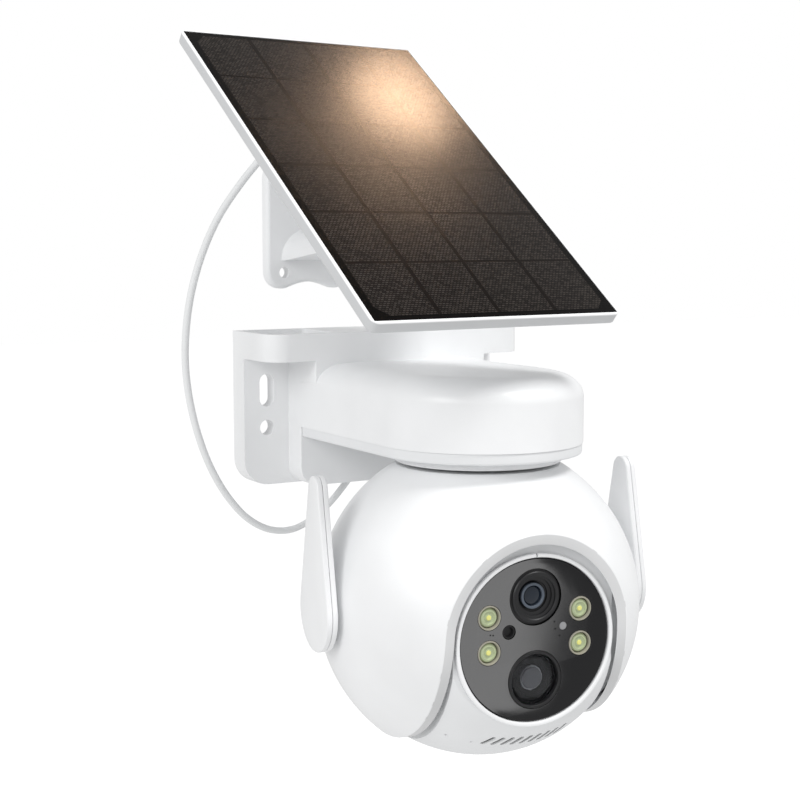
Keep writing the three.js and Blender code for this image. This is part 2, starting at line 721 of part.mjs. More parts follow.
// ---------------------------------------------------------------- solar panel
function panelFrame() {
  const [w, l] = [PANEL_WIDTH / 2, PANEL_LENGTH / 2];
  const outer = slab(rounded(-w, w, -l, l, [3, 3, 3, 3]), -PANEL_THICK, 0, 4);
  const seat = slab(
    rounded(-w + PANEL_LIP, w - PANEL_LIP, -l + PANEL_LIP, l - PANEL_LIP, [0.6, 0.6, 0.6, 0.6]),
    -1.8,
    1,
    4,
  );
  return outer.subtract(seat);
}

function solarGlass() {
  const inset = PANEL_LIP + GAP;
  const [w, l] = [PANEL_WIDTH / 2 - inset, PANEL_LENGTH / 2 - inset];
  return slab(rounded(-w, w, -l, l, [0.5, 0.5, 0.5, 0.5]), -1.5, -0.1, 4);
}

const JUNCTION = { x0: -7, x1: 27, y0: 16, y1: 58, back: -15 };

function junctionBox() {
  const { x0, x1, y0, y1, back } = JUNCTION;
  return slab(rounded(x0, x1, y0, y1, [4, 4, 4, 4]), back, -PANEL_THICK - GAP, 4);
}

const GLAND_AT = [37, -10]; // along and behind the panel
const GLAND_END = -21.3;
function cableGland() {
  const profile = [[0, 0], [4.2, 0], [4.2, 3], [3.2, 3.6], [3, 8], [2.2, 14], [0, 14]];
  const made = turned(profile, "x", [0, 0, 0], 16);
  return made.rotate([0, 0, 180]).translate([JUNCTION.x0 - GAP, ...GLAND_AT]);
}

// The tongue on the panel's back that turns between the bracket's two ears.
function hingeLug() {
  const x = HINGE_OFFSET;
  const foot = slab(rounded(x - 10, x + 10, -15, 13, [3, 3, 3, 3]), -8.3, -PANEL_THICK - GAP, 4);
  const tongue = new THREE.Shape();
  tongue.moveTo(9, -8);
  tongue.lineTo(7, -HINGE_DROP);
  tongue.absarc(0, -HINGE_DROP, 7, 0, -Math.PI, true);
  tongue.lineTo(-9, -8);
  const bore = rod("x", HINGE_R + GAP, -40, 40, [0, -HINGE_DROP], 16);
  return foot.add(rib(tongue, x - 4, x + 4)).subtract(bore);
}

function panelPieces() {
  return [
    mesh("panel_frame", panelFrame(), WHITE),
    mesh("solar_glass", solarGlass(), 0x17110e, 0.15),
    mesh("junction_box", junctionBox(), WHITE),
    mesh("cable_gland", cableGland(), WHITE, 0.7),
    mesh("hinge_lug", hingeLug(), WHITE),
  ];
}

// ---------------------------------------------------------------- panel's wall bracket
// A plate with a round lobe at each corner and a hollow waist top and bottom.
function mountOutline() {
  const [h, lobe, dip] = [MOUNT_HALF, 7.5, 2.6];
  const s = new THREE.Shape();
  s.moveTo(HINGE_X - h, MOUNT_BOTTOM + lobe);
  s.absarc(HINGE_X - h + lobe, MOUNT_BOTTOM + lobe, lobe, Math.PI, 1.6 * Math.PI);
  s.quadraticCurveTo(HINGE_X, MOUNT_BOTTOM + 2 * dip, HINGE_X + h - lobe + 2.3, MOUNT_BOTTOM + 0.4);
  s.absarc(HINGE_X + h - lobe, MOUNT_BOTTOM + lobe, lobe, -0.4 * Math.PI, 0);
  s.absarc(HINGE_X + h - lobe, MOUNT_TOP - lobe, lobe, 0, 0.6 * Math.PI);
  s.quadraticCurveTo(HINGE_X, MOUNT_TOP - 2 * dip, HINGE_X - h + lobe - 2.3, MOUNT_TOP - 0.4);
  s.absarc(HINGE_X - h + lobe, MOUNT_TOP - lobe, lobe, 0.4 * Math.PI, Math.PI);
  s.closePath();
  return s;
}

// Half a cone with its flat side down, rising towards the hinge.
function mountArm() {
  const points = [];
  const ends = [
    { y: -MOUNT_DEPTH + 1, z: 63.2, r: 12.8 },
    { y: -58, z: 70, r: 9.4 },
  ];
  ends.forEach(({ y, z, r }) => {
    for (let i = 0; i <= 8; i += 1) {
      const a = (Math.PI * i) / 8;
      points.push(new THREE.Vector3(HINGE_X + r * Math.cos(a), y, z + r * Math.sin(a)));
    }
  });
  return solid(new ConvexGeometry(points));
}

// Turns a solid with the panel, about the upright line through the hinge.
function swivelled(s) {
  const moved = s.translate([-HINGE_X, -HINGE_AT[0], 0]).rotate([0, 0, PANEL_YAW / DEG]);
  return moved.translate([HINGE_X, HINGE_AT[0], 0]);
}

// One of the two ears that hold the hinge bolt.
function mountEar(x0, x1) {
  const s = new THREE.Shape();
  s.moveTo(-46, 68.6);
  s.lineTo(-46, 79);
  s.lineTo(HINGE_AT[0] + 5, HINGE_AT[1] + 6.3);
  s.absarc(HINGE_AT[0], HINGE_AT[1], 8, Math.PI / 4, 1.25 * Math.PI);
  s.lineTo(-62, 70.6);
  s.closePath();
  return rib(s, x0, x1);
}

const EAR = [4.5, 9.3]; // inner and outer face from the hinge's middle

function panelBracket() {
  const plate = wall(mountOutline(), -MOUNT_DEPTH, 0, 6);
  const ears = union(
    mountEar(HINGE_X - EAR[1], HINGE_X - EAR[0]),
    mountEar(HINGE_X + EAR[0], HINGE_X + EAR[1]),
  );
  const between = swivelled(box([HINGE_X - EAR[0], -100, 60], [HINGE_X + EAR[0], -50, 110]));
  const bore = swivelled(rod("x", HINGE_R + GAP, -80, 20, HINGE_AT, 16));
  const holes = [-12.4, 12.4].flatMap((dx) => [
    rod("y", 2.4, -20, 5, [HINGE_X + dx, 58], 12),
    wall(slotOutline(HINGE_X + dx, 95, 4.8, 10.8), -20, 5, 3),
  ]);
  return union(plate, mountArm().subtract(between), swivelled(ears)).subtract(union(bore, ...holes));
}

function hingeBolt() {
  const head = rod("x", 5.5, HINGE_X - EAR[1] - GAP - 3.5, HINGE_X - EAR[1] - GAP, HINGE_AT, 6);
  const shank = rod("x", HINGE_R, HINGE_X - EAR[1] - 1, HINGE_X + 19, HINGE_AT, 16);
  return swivelled(head.add(shank));
}

// The knob that clamps the hinge: a round nut with two wings.
function hingeKnob() {
  const x0 = HINGE_X + EAR[1] + GAP;
  const [y, z] = HINGE_AT;
  const wings = box([x0 + 2, y - 12, z - 2], [x0 + 12, y + 12, z + 2]);
  const body = rod("x", 6.5, x0, x0 + 8, HINGE_AT, 16);
  const bore = rod("x", HINGE_R + GAP, x0 - 1, x0 + 20, HINGE_AT, 16);
  return swivelled(body.add(wings).subtract(bore));
}

// ---------------------------------------------------------------- cable
// The route is chosen by hand: out of the panel's gland, down to the left and back under the bracket.
const CABLE_ROUTE = [
  [-55.5, -49.5, 116],
  [-60.2, -49.8, 115.3],
  [-65.2, -47.9, 111.2],
  [-70, -44.6, 104.4],
  [-77.2, -39.8, 93.9],
  [-84.5, -35, 81],
  [-90.4, -32.6, 67],
  [-94.6, -31, 52],
  [-96.8, -30, 37],
  [-97.2, -29.5, 22],
  [-95.3, -29, 7],
  [-91.2, -28, -8],
  [-85, -26, -22],
  [-76.2, -23.2, -35.2],
  [-65.8, -20, -45.6],
  [-54, -16.6, -52],
  [-42, -13.6, -53.6],
  [-31, -11.4, -50.4],
  [-21.6, -10, -44.4],
  [-13.4, -9.4, -36.6],
  [-6.4, -9.2, -28.4],
  [-0.6, -9, -21.4],
  [1, -9, -17.6],
  [1, -9, -14.4],
];

function solarCable() {
  const points = CABLE_ROUTE.map((p) => new THREE.Vector3(...p));
  const path = new THREE.CatmullRomCurve3(points, false, "centripetal");
  const section = new THREE.Shape();
  for (let i = 0; i < 8; i += 1) {
    const a = (Math.PI * (i + 0.5)) / 4;
    const point = [CABLE_R * Math.cos(a), CABLE_R * Math.sin(a)];
    if (i === 0) section.moveTo(...point);
    else section.lineTo(...point);
  }
  section.closePath();
  const g = new THREE.ExtrudeGeometry(section, { steps: 52, bevelEnabled: false, extrudePath: path });
  return solid(g);
}

// ---------------------------------------------------------------- assembly
const camera = new THREE.Group();
camera.add(...cameraBracket());

const head = new THREE.Group();
head.position.set(0, AXIS_Y, BALL_Z);
head.rotation.z = PAN_REST;
head.add(
  mesh("pan_hub", panHub(), GREY),
  mesh("pan_gear", panGear(), 0xe8e4d8, 0.5),
  ...panShells(),
  mesh("tilt_axle_left", tiltAxle(-1), GREY),
  mesh("tilt_axle_right", tiltAxle(1), GREY),
  mesh("tilt_gear", tiltGear(), 0xe8e4d8, 0.5),
  ...antenna("left", -1),
  ...antenna("right", 1),
  ...tiltingHead(),
);
camera.add(head);

const panel = new THREE.Group();
panel.rotation.set(PANEL_TILT, 0, PANEL_YAW, "ZXY");
panel.position.set(-HINGE_OFFSET, 0, HINGE_DROP).applyEuler(panel.rotation);
panel.position.add(new THREE.Vector3(HINGE_X, ...HINGE_AT));
panel.add(...panelPieces());
camera.add(panel);

camera.add(
  mesh("panel_bracket", panelBracket(), WHITE),
  mesh("hinge_bolt", hingeBolt(), STEEL, 0.35, 1),
  mesh("hinge_knob", hingeKnob(), BLACK, 0.6),
  mesh("solar_cable", solarCable(), WHITE, 0.6),
);

export default camera;
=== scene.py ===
import json
from math import asin, atan2, cos, degrees, pi, radians, sin, sqrt

import bmesh
import bpy
from mathutils import Matrix, Vector


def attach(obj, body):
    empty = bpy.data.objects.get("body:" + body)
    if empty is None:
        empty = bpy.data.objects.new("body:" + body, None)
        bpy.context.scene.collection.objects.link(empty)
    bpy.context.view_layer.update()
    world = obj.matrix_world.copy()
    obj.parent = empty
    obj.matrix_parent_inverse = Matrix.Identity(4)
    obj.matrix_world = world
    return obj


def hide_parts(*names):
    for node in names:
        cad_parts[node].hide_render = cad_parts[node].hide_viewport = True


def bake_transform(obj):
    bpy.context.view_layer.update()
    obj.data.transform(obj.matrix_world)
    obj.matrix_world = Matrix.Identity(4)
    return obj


# Solar-powered pan-and-tilt camera. Shapes are drawn in millimetres, in the frame that each piece
# is placed in, and new_piece() turns them into metres.
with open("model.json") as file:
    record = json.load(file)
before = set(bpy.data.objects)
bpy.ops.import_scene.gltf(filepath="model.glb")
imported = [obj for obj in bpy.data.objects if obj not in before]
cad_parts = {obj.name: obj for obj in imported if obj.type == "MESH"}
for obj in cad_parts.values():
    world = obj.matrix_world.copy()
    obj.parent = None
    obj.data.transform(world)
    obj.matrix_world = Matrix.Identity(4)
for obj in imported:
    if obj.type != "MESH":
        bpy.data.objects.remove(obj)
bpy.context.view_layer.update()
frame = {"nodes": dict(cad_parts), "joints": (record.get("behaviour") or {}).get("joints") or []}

MM = 0.001
JOINTS = {joint["name"]: joint for joint in frame["joints"]}
BALL_CENTRE = Vector(JOINTS["tilt"]["pos_m"])
TILT_AXIS = Vector(JOINTS["tilt"]["axis"])
HINGE = Vector(JOINTS["panel_tilt"]["pos_m"])
HINGE_AXIS = Vector(JOINTS["panel_tilt"]["axis"])
PANEL_TILT = radians(38.8)
HINGE_OFFSET, HINGE_DROP = 3.9, 20.0  # from the hinge to the middle of the panel's face
FAR = 90  # past every side of the ball

ROW = Matrix()
AXIS_Y = BALL_CENTRE.y / MM
HEAD = Matrix.Translation(BALL_CENTRE) @ Matrix.Rotation(atan2(TILT_AXIS.y, TILT_AXIS.x), 4, "Z")
SWIVEL = Matrix.Translation(HINGE) @ Matrix.Rotation(atan2(HINGE_AXIS.y, HINGE_AXIS.x), 4, "Z")
FROM_HINGE = Matrix.Translation(Vector((-HINGE_OFFSET, 0, HINGE_DROP)) * MM)
PANEL = SWIVEL @ Matrix.Rotation(PANEL_TILT, 4, "X") @ FROM_HINGE


# ---- camera
def make_camera():
    data = bpy.data.cameras.new("camera")
    data.lens = 68.1
    data.sensor_width = 36
    data.clip_start, data.clip_end = 0.01, 20
    camera = bpy.data.objects.new("camera", data)
    bpy.context.scene.collection.objects.link(camera)
    bpy.context.scene.camera = camera
    azimuth, elevation = radians(-30.5), radians(6.15)
    flat = cos(elevation)
    back = Vector((sin(azimuth) * flat, -cos(azimuth) * flat, sin(elevation)))
    camera.location = (-0.3319, -0.5988, 0.0734)
    camera.rotation_euler = (-back).to_track_quat("-Z", "Y").to_euler()


make_camera()


# ---- mesh tools
CREASE = 30  # edges sharper than this, in degrees, are drawn sharp


def new_piece(name, bm, place=ROW, crease=CREASE):
    """A mesh object from a closed bmesh in millimetres, smooth but for edges sharper than crease degrees."""
    bmesh.ops.recalc_face_normals(bm, faces=bm.faces)
    if bm.calc_volume(signed=True) < 0:
        bmesh.ops.reverse_faces(bm, faces=bm.faces)
    bm.transform(Matrix.Scale(MM, 4))
    mesh = bpy.data.meshes.new(name)
    bm.to_mesh(mesh)
    bm.free()
    mesh.shade_smooth()
    mesh.set_sharp_from_angle(angle=radians(crease))
    piece = bpy.data.objects.new(name, mesh)
    piece.matrix_world = place
    bpy.context.scene.collection.objects.link(piece)
    return piece


def loft(rings, closed=False):
    """Quads between rings of points; a ring of one point is a pole. Open ends are capped."""
    bm = bmesh.new()
    made = [[bm.verts.new(point) for point in ring] for ring in rings]
    pairs = list(zip(made, made[1:]))
    if closed:
        pairs.append((made[-1], made[0]))
    for low, high in pairs:
        count = max(len(low), len(high))
        for i in range(count):
            j = (i + 1) % count
            corners = [low[i % len(low)], low[j % len(low)], high[j % len(high)], high[i % len(high)]]
            bm.faces.new(list(dict.fromkeys(corners)))
    if not closed:
        for end in (made[0], made[-1]):
            if len(end) > 1:
                bm.faces.new(end)
    return bm


def turn_to(axis, u, v, w):
    """The point with height w along an axis, and u, v across it."""
    return {"x": (w, u, v), "y": (u, w, v), "z": (u, v, w)}[axis]


def revolve(profile, axis="z", at=(0, 0, 0), segments=72, closed=False):
    """A solid turned from (radius, height) points about an axis through a point."""
    rings = []
    for radius, height in profile:
        count = segments if radius > 1e-6 else 1
        angles = [2 * pi * i / count for i in range(count)]
        ring = [turn_to(axis, radius * cos(a), radius * sin(a), height) for a in angles]
        rings.append([Vector(p) + Vector(at) for p in ring])
    return loft(rings, closed)


def rod(axis, radius, low, high, across=(0, 0), edge=0.0, segments=48):
    """A cylinder from low to high, its rims rounded to edge."""
    at = turn_to(axis, across[0], across[1], 0)
    if not edge:
        return revolve([(radius, low), (radius, high)], axis, at, segments)
    quarter = [(sin(t), cos(t)) for t in (pi / 2 * k / 4 for k in range(5))]
    foot = [(radius - edge + edge * s, low + edge - edge * c) for s, c in quarter]
    head = [(radius - edge + edge * s, high - edge + edge * c) for s, c in reversed(quarter)]
    return revolve(foot + head, axis, at, segments)


def pipe(axis, outer, inner, low, high, across=(0, 0), edge=0.3, segments=72):
    """A ring with its four rims rounded."""
    at = turn_to(axis, across[0], across[1], 0)
    profile = []
    for radius, height, start in ((outer, low, -90), (outer, high, 0), (inner, high, 90), (inner, low, 180)):
        side = -edge if radius == outer else edge
        rise = edge if height == low else -edge
        for k in range(4):
            t = radians(start + 30 * k)
            profile.append((radius + side + edge * cos(t), height + rise + edge * sin(t)))
    return revolve(profile, axis, at, segments, closed=True)


def cuboid(low, high):
    """A box between two opposite corners."""
    bm = bmesh.new()
    bmesh.ops.create_cube(bm, size=1)
    low, high = Vector(low), Vector(high)
    for vert in bm.verts:
        vert.co = Vector((p + 0.5) * (b - a) + a for p, a, b in zip(vert.co, low, high))
    return bm


def slab(axis, low=-FAR, high=FAR):
    """All there is about the ball from low to high along an axis."""
    return cuboid(turn_to(axis, -FAR, -FAR, low), turn_to(axis, FAR, FAR, high))


def arc(centre, radius, start, end, steps=12):
    """Points of an arc, angles in degrees."""
    angles = [radians(start + (end - start) * i / steps) for i in range(steps + 1)]
    return [(centre[0] + radius * cos(a), centre[1] + radius * sin(a)) for a in angles]


def rounded_box(x0, x1, y0, y1, radii):
    """An outline that shrinks by inset; radii run from the low-low corner, anticlockwise."""
    def outline(inset=0.0):
        points = []
        signs = ((-1, -1, 180), (1, -1, 270), (1, 1, 0), (-1, 1, 90))
        for (sx, sy, start), radius in zip(signs, radii):
            r = max(radius - inset, 0.05)
            x = (x0 + inset + r) if sx < 0 else (x1 - inset - r)
            y = (y0 + inset + r) if sy < 0 else (y1 - inset - r)
            points += arc((x, y), r, start, start + 90, 8)
        return points
    return outline


def stadium(x, y, width, length):
    """The outline of an upright slot with round ends."""
    def outline(inset=0.0):
        r = width / 2 - inset
        reach = (length - width) / 2
        return arc((x, y + reach), r, 0, 180) + arc((x, y - reach), r, 180, 360)
    return outline


def extrude(outline, axis, low, high, foot=(0, 0), head=(0, 0), steps=4):
    """An outline pushed along an axis, its two rims rounded by (across, along)."""
    rings = []
    for k in range(steps + 1):
        t = pi / 2 * (1 - k / steps)
        rings.append((foot[0] * (1 - cos(t)), low + foot[1] * (1 - sin(t))))
        if not foot[0]:
            break
    for k in range(steps + 1):
        t = pi / 2 * k / steps
        rings.append((head[0] * (1 - cos(t)), high - head[1] * (1 - sin(t))))
        if not head[0]:
            rings[-1] = (0, high)
            break
    return loft([[Vector(turn_to(axis, u, v, w)) for u, v in outline(inset)] for inset, w in rings])


def bake(piece):
    """Applies the piece's modifiers."""
    graph = bpy.context.evaluated_depsgraph_get()
    mesh = bpy.data.meshes.new_from_object(piece.evaluated_get(graph))
    piece.modifiers.clear()
    piece.data = mesh


def combine(piece, solids, how="DIFFERENCE"):
    """Cuts solids from a piece, or joins them to it: meshes in the piece's own frame, or other pieces."""
    tools = [new_piece("tool", s, piece.matrix_world) if isinstance(s, bmesh.types.BMesh) else s
             for s in solids]
    for tool in tools:
        step = piece.modifiers.new("combine", "BOOLEAN")
        step.object, step.operation, step.solver = tool, how, "MANIFOLD"
    bake(piece)
    for tool in tools:
        bpy.data.objects.remove(tool)
    piece.data.shade_smooth()
    piece.data.set_sharp_from_angle(angle=radians(CREASE))


def soften(piece, width, segments, above=32):
    """Small radii along the sharp edges, as a mould leaves them."""
    bevel = piece.modifiers.new("soften", "BEVEL")
    bevel.width, bevel.segments = width * MM, segments
    bevel.limit_method, bevel.angle_limit = "ANGLE", radians(above)
    bevel.use_clamp_overlap = True
    bevel.miter_outer = "MITER_ARC"
    weigh = piece.modifiers.new("weigh", "WEIGHTED_NORMAL")
    weigh.keep_sharp = True
    bake(piece)


def true_sphere(piece, *radii, near=0.00002):
    """Gives faces that lie on spheres about the piece's origin the spheres' own normals."""
    mesh = piece.data
    normals = [(0.0, 0.0, 0.0)] * len(mesh.loops)
    for face in mesh.polygons:
        corners = [mesh.vertices[v].co for v in face.vertices]
        for radius in radii:
            if all(abs(c.length - radius * MM) < near for c in corners):
                side = 1 if face.normal.dot(corners[0]) > 0 else -1
                for loop in face.loop_indices:
                    normal = mesh.vertices[mesh.loops[loop].vertex_index].co.normalized() * side
                    normals[loop] = tuple(normal)
    mesh.normals_split_custom_set(normals)


# ---- materials
def nodes_of(name):
    material = bpy.data.materials.new(name)
    material.use_nodes = True
    tree = material.node_tree
    return material, tree, tree.nodes["Principled BSDF"]


def add_node(tree, kind, inputs=None, **settings):
    node = tree.nodes.new("ShaderNode" + kind)
    for key, value in settings.items():
        setattr(node, key, value)
    for key, value in (inputs or {}).items():
        if isinstance(value, bpy.types.NodeSocket):
            tree.links.new(value, node.inputs[key])
        else:
            node.inputs[key].default_value = value
    return node


def mix_colors(tree, factor, first, second):
    """The colour mix of a Mix node, whose colour inputs are numbers 6 and 7 and whose output is 2."""
    return add_node(tree, "Mix", {"Factor": factor, 6: first, 7: second}, data_type="RGBA").outputs[2]


def math_node(tree, operation, *values):
    return add_node(tree, "Math", dict(enumerate(values)), operation=operation).outputs[0]


def finish_of(name, color, roughness, grain=1400, bump=0.04, spread=0.06, shade=0.05, **sockets):
    """A moulded or painted finish: fine grain in the bump, and slow drifts of roughness and tone."""
    material, tree, shader = nodes_of(name)
    place = add_node(tree, "TexCoord").outputs["Object"]
    fine = add_node(tree, "TexNoise", {"Vector": place, "Scale": grain, "Detail": 3.0})
    slow = add_node(tree, "TexNoise", {"Vector": place, "Scale": 34.0, "Detail": 4.0})
    range_in = {"Value": slow.outputs[0], "From Min": 0.3, "From Max": 0.7}
    rough = add_node(tree, "MapRange", {**range_in, "To Min": roughness - spread,
                                        "To Max": roughness + spread})
    tone = add_node(tree, "MapRange", {**range_in, "To Min": 1 - shade, "To Max": 1.0})
    tint = add_node(tree, "VectorMath", {0: color, 1: tone.outputs[0]}, operation="MULTIPLY")
    relief = add_node(tree, "Bump", {"Height": fine.outputs[0], "Strength": bump, "Distance": 0.0002})
    tree.links.new(tint.outputs[0], shader.inputs["Base Color"])
    tree.links.new(rough.outputs[0], shader.inputs["Roughness"])
    tree.links.new(relief.outputs[0], shader.inputs["Normal"])
    for key, value in sockets.items():
        shader.inputs[key.replace("_", " ")].default_value = value
    return material


def frame_with_shaded_sides():
    """The panel's frame: a white lip, with sides and back a shade greyer as painted shade for the faces
    turned from the light.
    """
    material = finish_of("panel_frame_painted_shade", (0.9, 0.9, 0.905), 0.4)
    tree = material.node_tree
    tint = next(n for n in tree.nodes if n.type == "VECT_MATH")
    height = add_node(tree, "SeparateXYZ", {0: add_node(tree, "TexCoord").outputs["Object"]}).outputs[2]
    # From 0.4 mm under the front the frame turns grey: painted shade on its sides and back.
    side = add_node(tree, "MapRange", {"Value": height, "From Min": -0.7 * MM, "From Max": -0.4 * MM})
    lip_and_side_shade = mix_colors(tree, side.outputs[0], (0.62, 0.63, 0.64, 1), (0.92, 0.925, 0.93, 1))
    tree.links.new(lip_and_side_shade, tint.inputs[0])
    return material


CELL_PITCH = (26.4, 28.8)
CELL_GAPS = (0.95, 0.6)  # half the dark strip between columns, and between rows
CELL_MARGIN = 0.6  # the cell field stops this far inside the outermost cells
CELL_CHAMFER = 6  # off each corner of the field


def solar_cells():
    """Black glass over cells: four columns and six rows, woven with fine staggered dashes."""
    material, tree, shader = nodes_of("solar_cells")
    place = add_node(tree, "TexCoord").outputs["Object"]
    grid = add_node(tree, "VectorMath", {0: place, "Scale": 1 / MM}, operation="SCALE").outputs[0]
    split = add_node(tree, "SeparateXYZ", {0: grid})
    across = math_node(tree, "ABSOLUTE", split.outputs[0])
    along = math_node(tree, "ABSOLUTE", split.outputs[1])
    column = math_node(tree, "PINGPONG", across, CELL_PITCH[0] / 2)
    row = math_node(tree, "PINGPONG", along, CELL_PITCH[1] / 2)
    half_width, half_length = 2 * CELL_PITCH[0], 3 * CELL_PITCH[1]
    clear = math_node(tree, "MULTIPLY", math_node(tree, "GREATER_THAN", column, CELL_GAPS[0]),
                      math_node(tree, "GREATER_THAN", row, CELL_GAPS[1]))
    inside = math_node(tree, "MULTIPLY", math_node(tree, "LESS_THAN", across, half_width - CELL_MARGIN),
                       math_node(tree, "LESS_THAN", along, half_length - CELL_MARGIN))
    corner = math_node(tree, "LESS_THAN", math_node(tree, "ADD", across, along),
                       half_width + half_length - CELL_CHAMFER)
    field = math_node(tree, "MULTIPLY", inside, corner)
    cell = math_node(tree, "MULTIPLY", clear, field)
    weave = add_node(tree, "TexBrick", {
        "Vector": grid, "Color1": (0.038, 0.033, 0.03, 1), "Color2": (0.006, 0.0054, 0.0052, 1),
        "Mortar": (0.004, 0.0035, 0.0034, 1), "Scale": 1.0, "Mortar Size": 0.22, "Mortar Smooth": 0.5,
        "Bias": -0.25, "Brick Width": 1.5, "Row Height": 1.0})
    drift = add_node(tree, "TexNoise", {"Vector": place, "Scale": 18.0, "Detail": 2.0})
    level = add_node(tree, "MapRange", {"Value": drift.outputs[0], "To Min": 0.75, "To Max": 1.25})
    dashes = add_node(tree, "VectorMath", {0: weave.outputs[0], 1: level.outputs[0]}, operation="MULTIPLY")
    strips = mix_colors(tree, field, (0.001, 0.001, 0.0011, 1), (0.006, 0.0046, 0.004, 1))
    tree.links.new(mix_colors(tree, cell, strips, dashes.outputs[0]), shader.inputs["Base Color"])
    rough = add_node(tree, "MapRange", {"Value": drift.outputs[0], "To Min": 0.2, "To Max": 0.25})
    tree.links.new(rough.outputs[0], shader.inputs["Roughness"])
    relief = add_node(tree, "Bump", {"Height": weave.outputs[1], "Strength": 0.15, "Distance": 0.0001})
    tree.links.new(relief.outputs[0], shader.inputs["Normal"])
    shader.inputs["Specular IOR Level"].default_value = 0.04
    return material


WHITE = finish_of("white_shell", (0.905, 0.912, 0.92), 0.36, Coat_Weight=0.15, Coat_Roughness=0.2)
WHITE_INNER = finish_of("white_satin", (0.86, 0.87, 0.88), 0.46)
WHITE_SOFT = finish_of("white_rubber", (0.84, 0.85, 0.855), 0.6, bump=0.08)
# Greyer white for the rebate round the mouth: painted shade for its inward-sloping faces.
REBATE_SHADE = finish_of("rebate_painted_shade", (0.7, 0.705, 0.71), 0.45)
# Greyer white for the band under the arm: painted shade for its downward, inward-sloping sides.
SHADED_BAND = finish_of("white_band_painted_shade", (0.83, 0.84, 0.85), 0.42)
GREY = finish_of("grey_moulding", (0.42, 0.43, 0.44), 0.5)
BLACK = finish_of("black_moulding", (0.012, 0.012, 0.013), 0.42, bump=0.08, Specular_IOR_Level=0.4)
FACE = finish_of("black_gloss", (0.003, 0.003, 0.0034), 0.1, bump=0.003, spread=0.02,
                 Specular_IOR_Level=0.28)
RUBBER = finish_of("black_rubber", (0.02, 0.02, 0.021), 0.75, bump=0.15)
STEEL = finish_of("steel", (0.55, 0.56, 0.57), 0.32, grain=2600, bump=0.06, Metallic=1.0)
ACETAL = finish_of("acetal", (0.78, 0.74, 0.64), 0.45)
BOARD = finish_of("circuit_board", (0.02, 0.16, 0.07), 0.38, grain=500, bump=0.1)
CELL_WRAP = finish_of("cell_wrap", (0.04, 0.16, 0.42), 0.3)
SOLAR = solar_cells()
SHADED_SIDES_FRAME = frame_with_shaded_sides()
GLASS = finish_of("lens_coating", (0.006, 0.011, 0.019), 0.05, bump=0.005, spread=0.01, Coat_Weight=0.4,
                  Coat_Roughness=0.02, Coat_Tint=(0.75, 0.85, 1.0, 1.0), Specular_IOR_Level=0.35)
LENS_RIM = finish_of("lens_rim", (0.09, 0.11, 0.14), 0.3)
PHOSPHOR = finish_of("lamp_phosphor", (0.47, 0.54, 0.33), 0.3, grain=900, Coat_Weight=0.5,
                     Coat_Roughness=0.1)
LAMP_CHIP = finish_of("lamp_chip", (0.8, 0.78, 0.25), 0.3)
LAMP_RIM = finish_of("lamp_rim", (0.42, 0.4, 0.33), 0.35, Metallic=0.3)
SMOKE = finish_of("smoked_lens", (0.5, 0.51, 0.53), 0.04, bump=0.01, spread=0.01,
                  Transmission_Weight=1.0, IOR=1.3)
DISC = finish_of("sensor_window", (0.3, 0.3, 0.31), 0.2)


def dress(piece, body, material, replaces=()):
    """Gives a piece its material and its body, and hides the CAD nodes that it stands for."""
    piece.data.materials.clear()
    piece.data.materials.append(material)
    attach(piece, body)
    if replaces:
        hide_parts(*replaces)


# ---- cable
CABLE_DIAMETER = 3.0
CABLE_ROUTE = [
    (-55.5, -49.5, 116), (-60.2, -49.8, 115.3), (-65.2, -47.9, 111.2), (-70, -44.6, 104.4),
    (-77.2, -39.8, 93.9), (-84.5, -35, 81), (-90.4, -32.6, 67), (-94.6, -31, 52),
    (-96.8, -30, 37), (-97.2, -29.5, 22), (-95.3, -29, 7), (-91.2, -28, -8),
    (-85, -26, -22), (-76.2, -23.2, -35.2), (-65.8, -20, -45.6), (-54, -16.6, -52),
    (-42, -13.6, -53.6), (-31, -11.4, -50.4), (-21.6, -10, -44.4), (-13.4, -9.4, -36.6),
    (-6.4, -9.2, -28.4), (-0.6, -9, -21.4), (1, -9, -17.6), (1, -9, -14.4),
]


def smooth_line(points, step=1.2):
    """A centripetal Catmull-Rom line through the points, sampled about every step."""
    points = [Vector(p) for p in points]
    ends = [2 * points[0] - points[1], *points, 2 * points[-1] - points[-2]]
    line = []
    for a, b, c, d in zip(ends, ends[1:], ends[2:], ends[3:]):
        t1 = (b - a).length ** 0.5
        t2 = t1 + (c - b).length ** 0.5
        t3 = t2 + (d - c).length ** 0.5
        count = max(2, round((c - b).length / step))
        for i in range(count):
            t = t1 + (t2 - t1) * i / count
            low = a.lerp(b, t / t1)
            mid = b.lerp(c, (t - t1) / (t2 - t1))
            high = c.lerp(d, (t - t2) / (t3 - t2))
            near, far = low.lerp(mid, t / t2), mid.lerp(high, (t - t1) / (t3 - t1))
            line.append(near.lerp(far, (t - t1) / (t2 - t1)))
    return line + [points[-1]]


def sweep(line, radius, sides=16):
    """A round tube along a line, turned as little as possible from ring to ring."""
    rings = []
    across = None
    for i, point in enumerate(line):
        ahead = (line[min(i + 1, len(line) - 1)] - line[max(i - 1, 0)]).normalized()
        across = ahead.orthogonal() if across is None else across - ahead * across.dot(ahead)
        across.normalize()
        other = ahead.cross(across)
        angles = [2 * pi * k / sides for k in range(sides)]
        rings.append([point + (across * cos(a) + other * sin(a)) * radius for a in angles])
    return loft(rings)


def make_cable():
    line = smooth_line(CABLE_ROUTE)
    cable = new_piece("cable", sweep(line, CABLE_DIAMETER / 2), crease=60)
    cable.data.materials.append(WHITE_SOFT)
    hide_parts("solar_cable")
    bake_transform(cable)


make_cable()


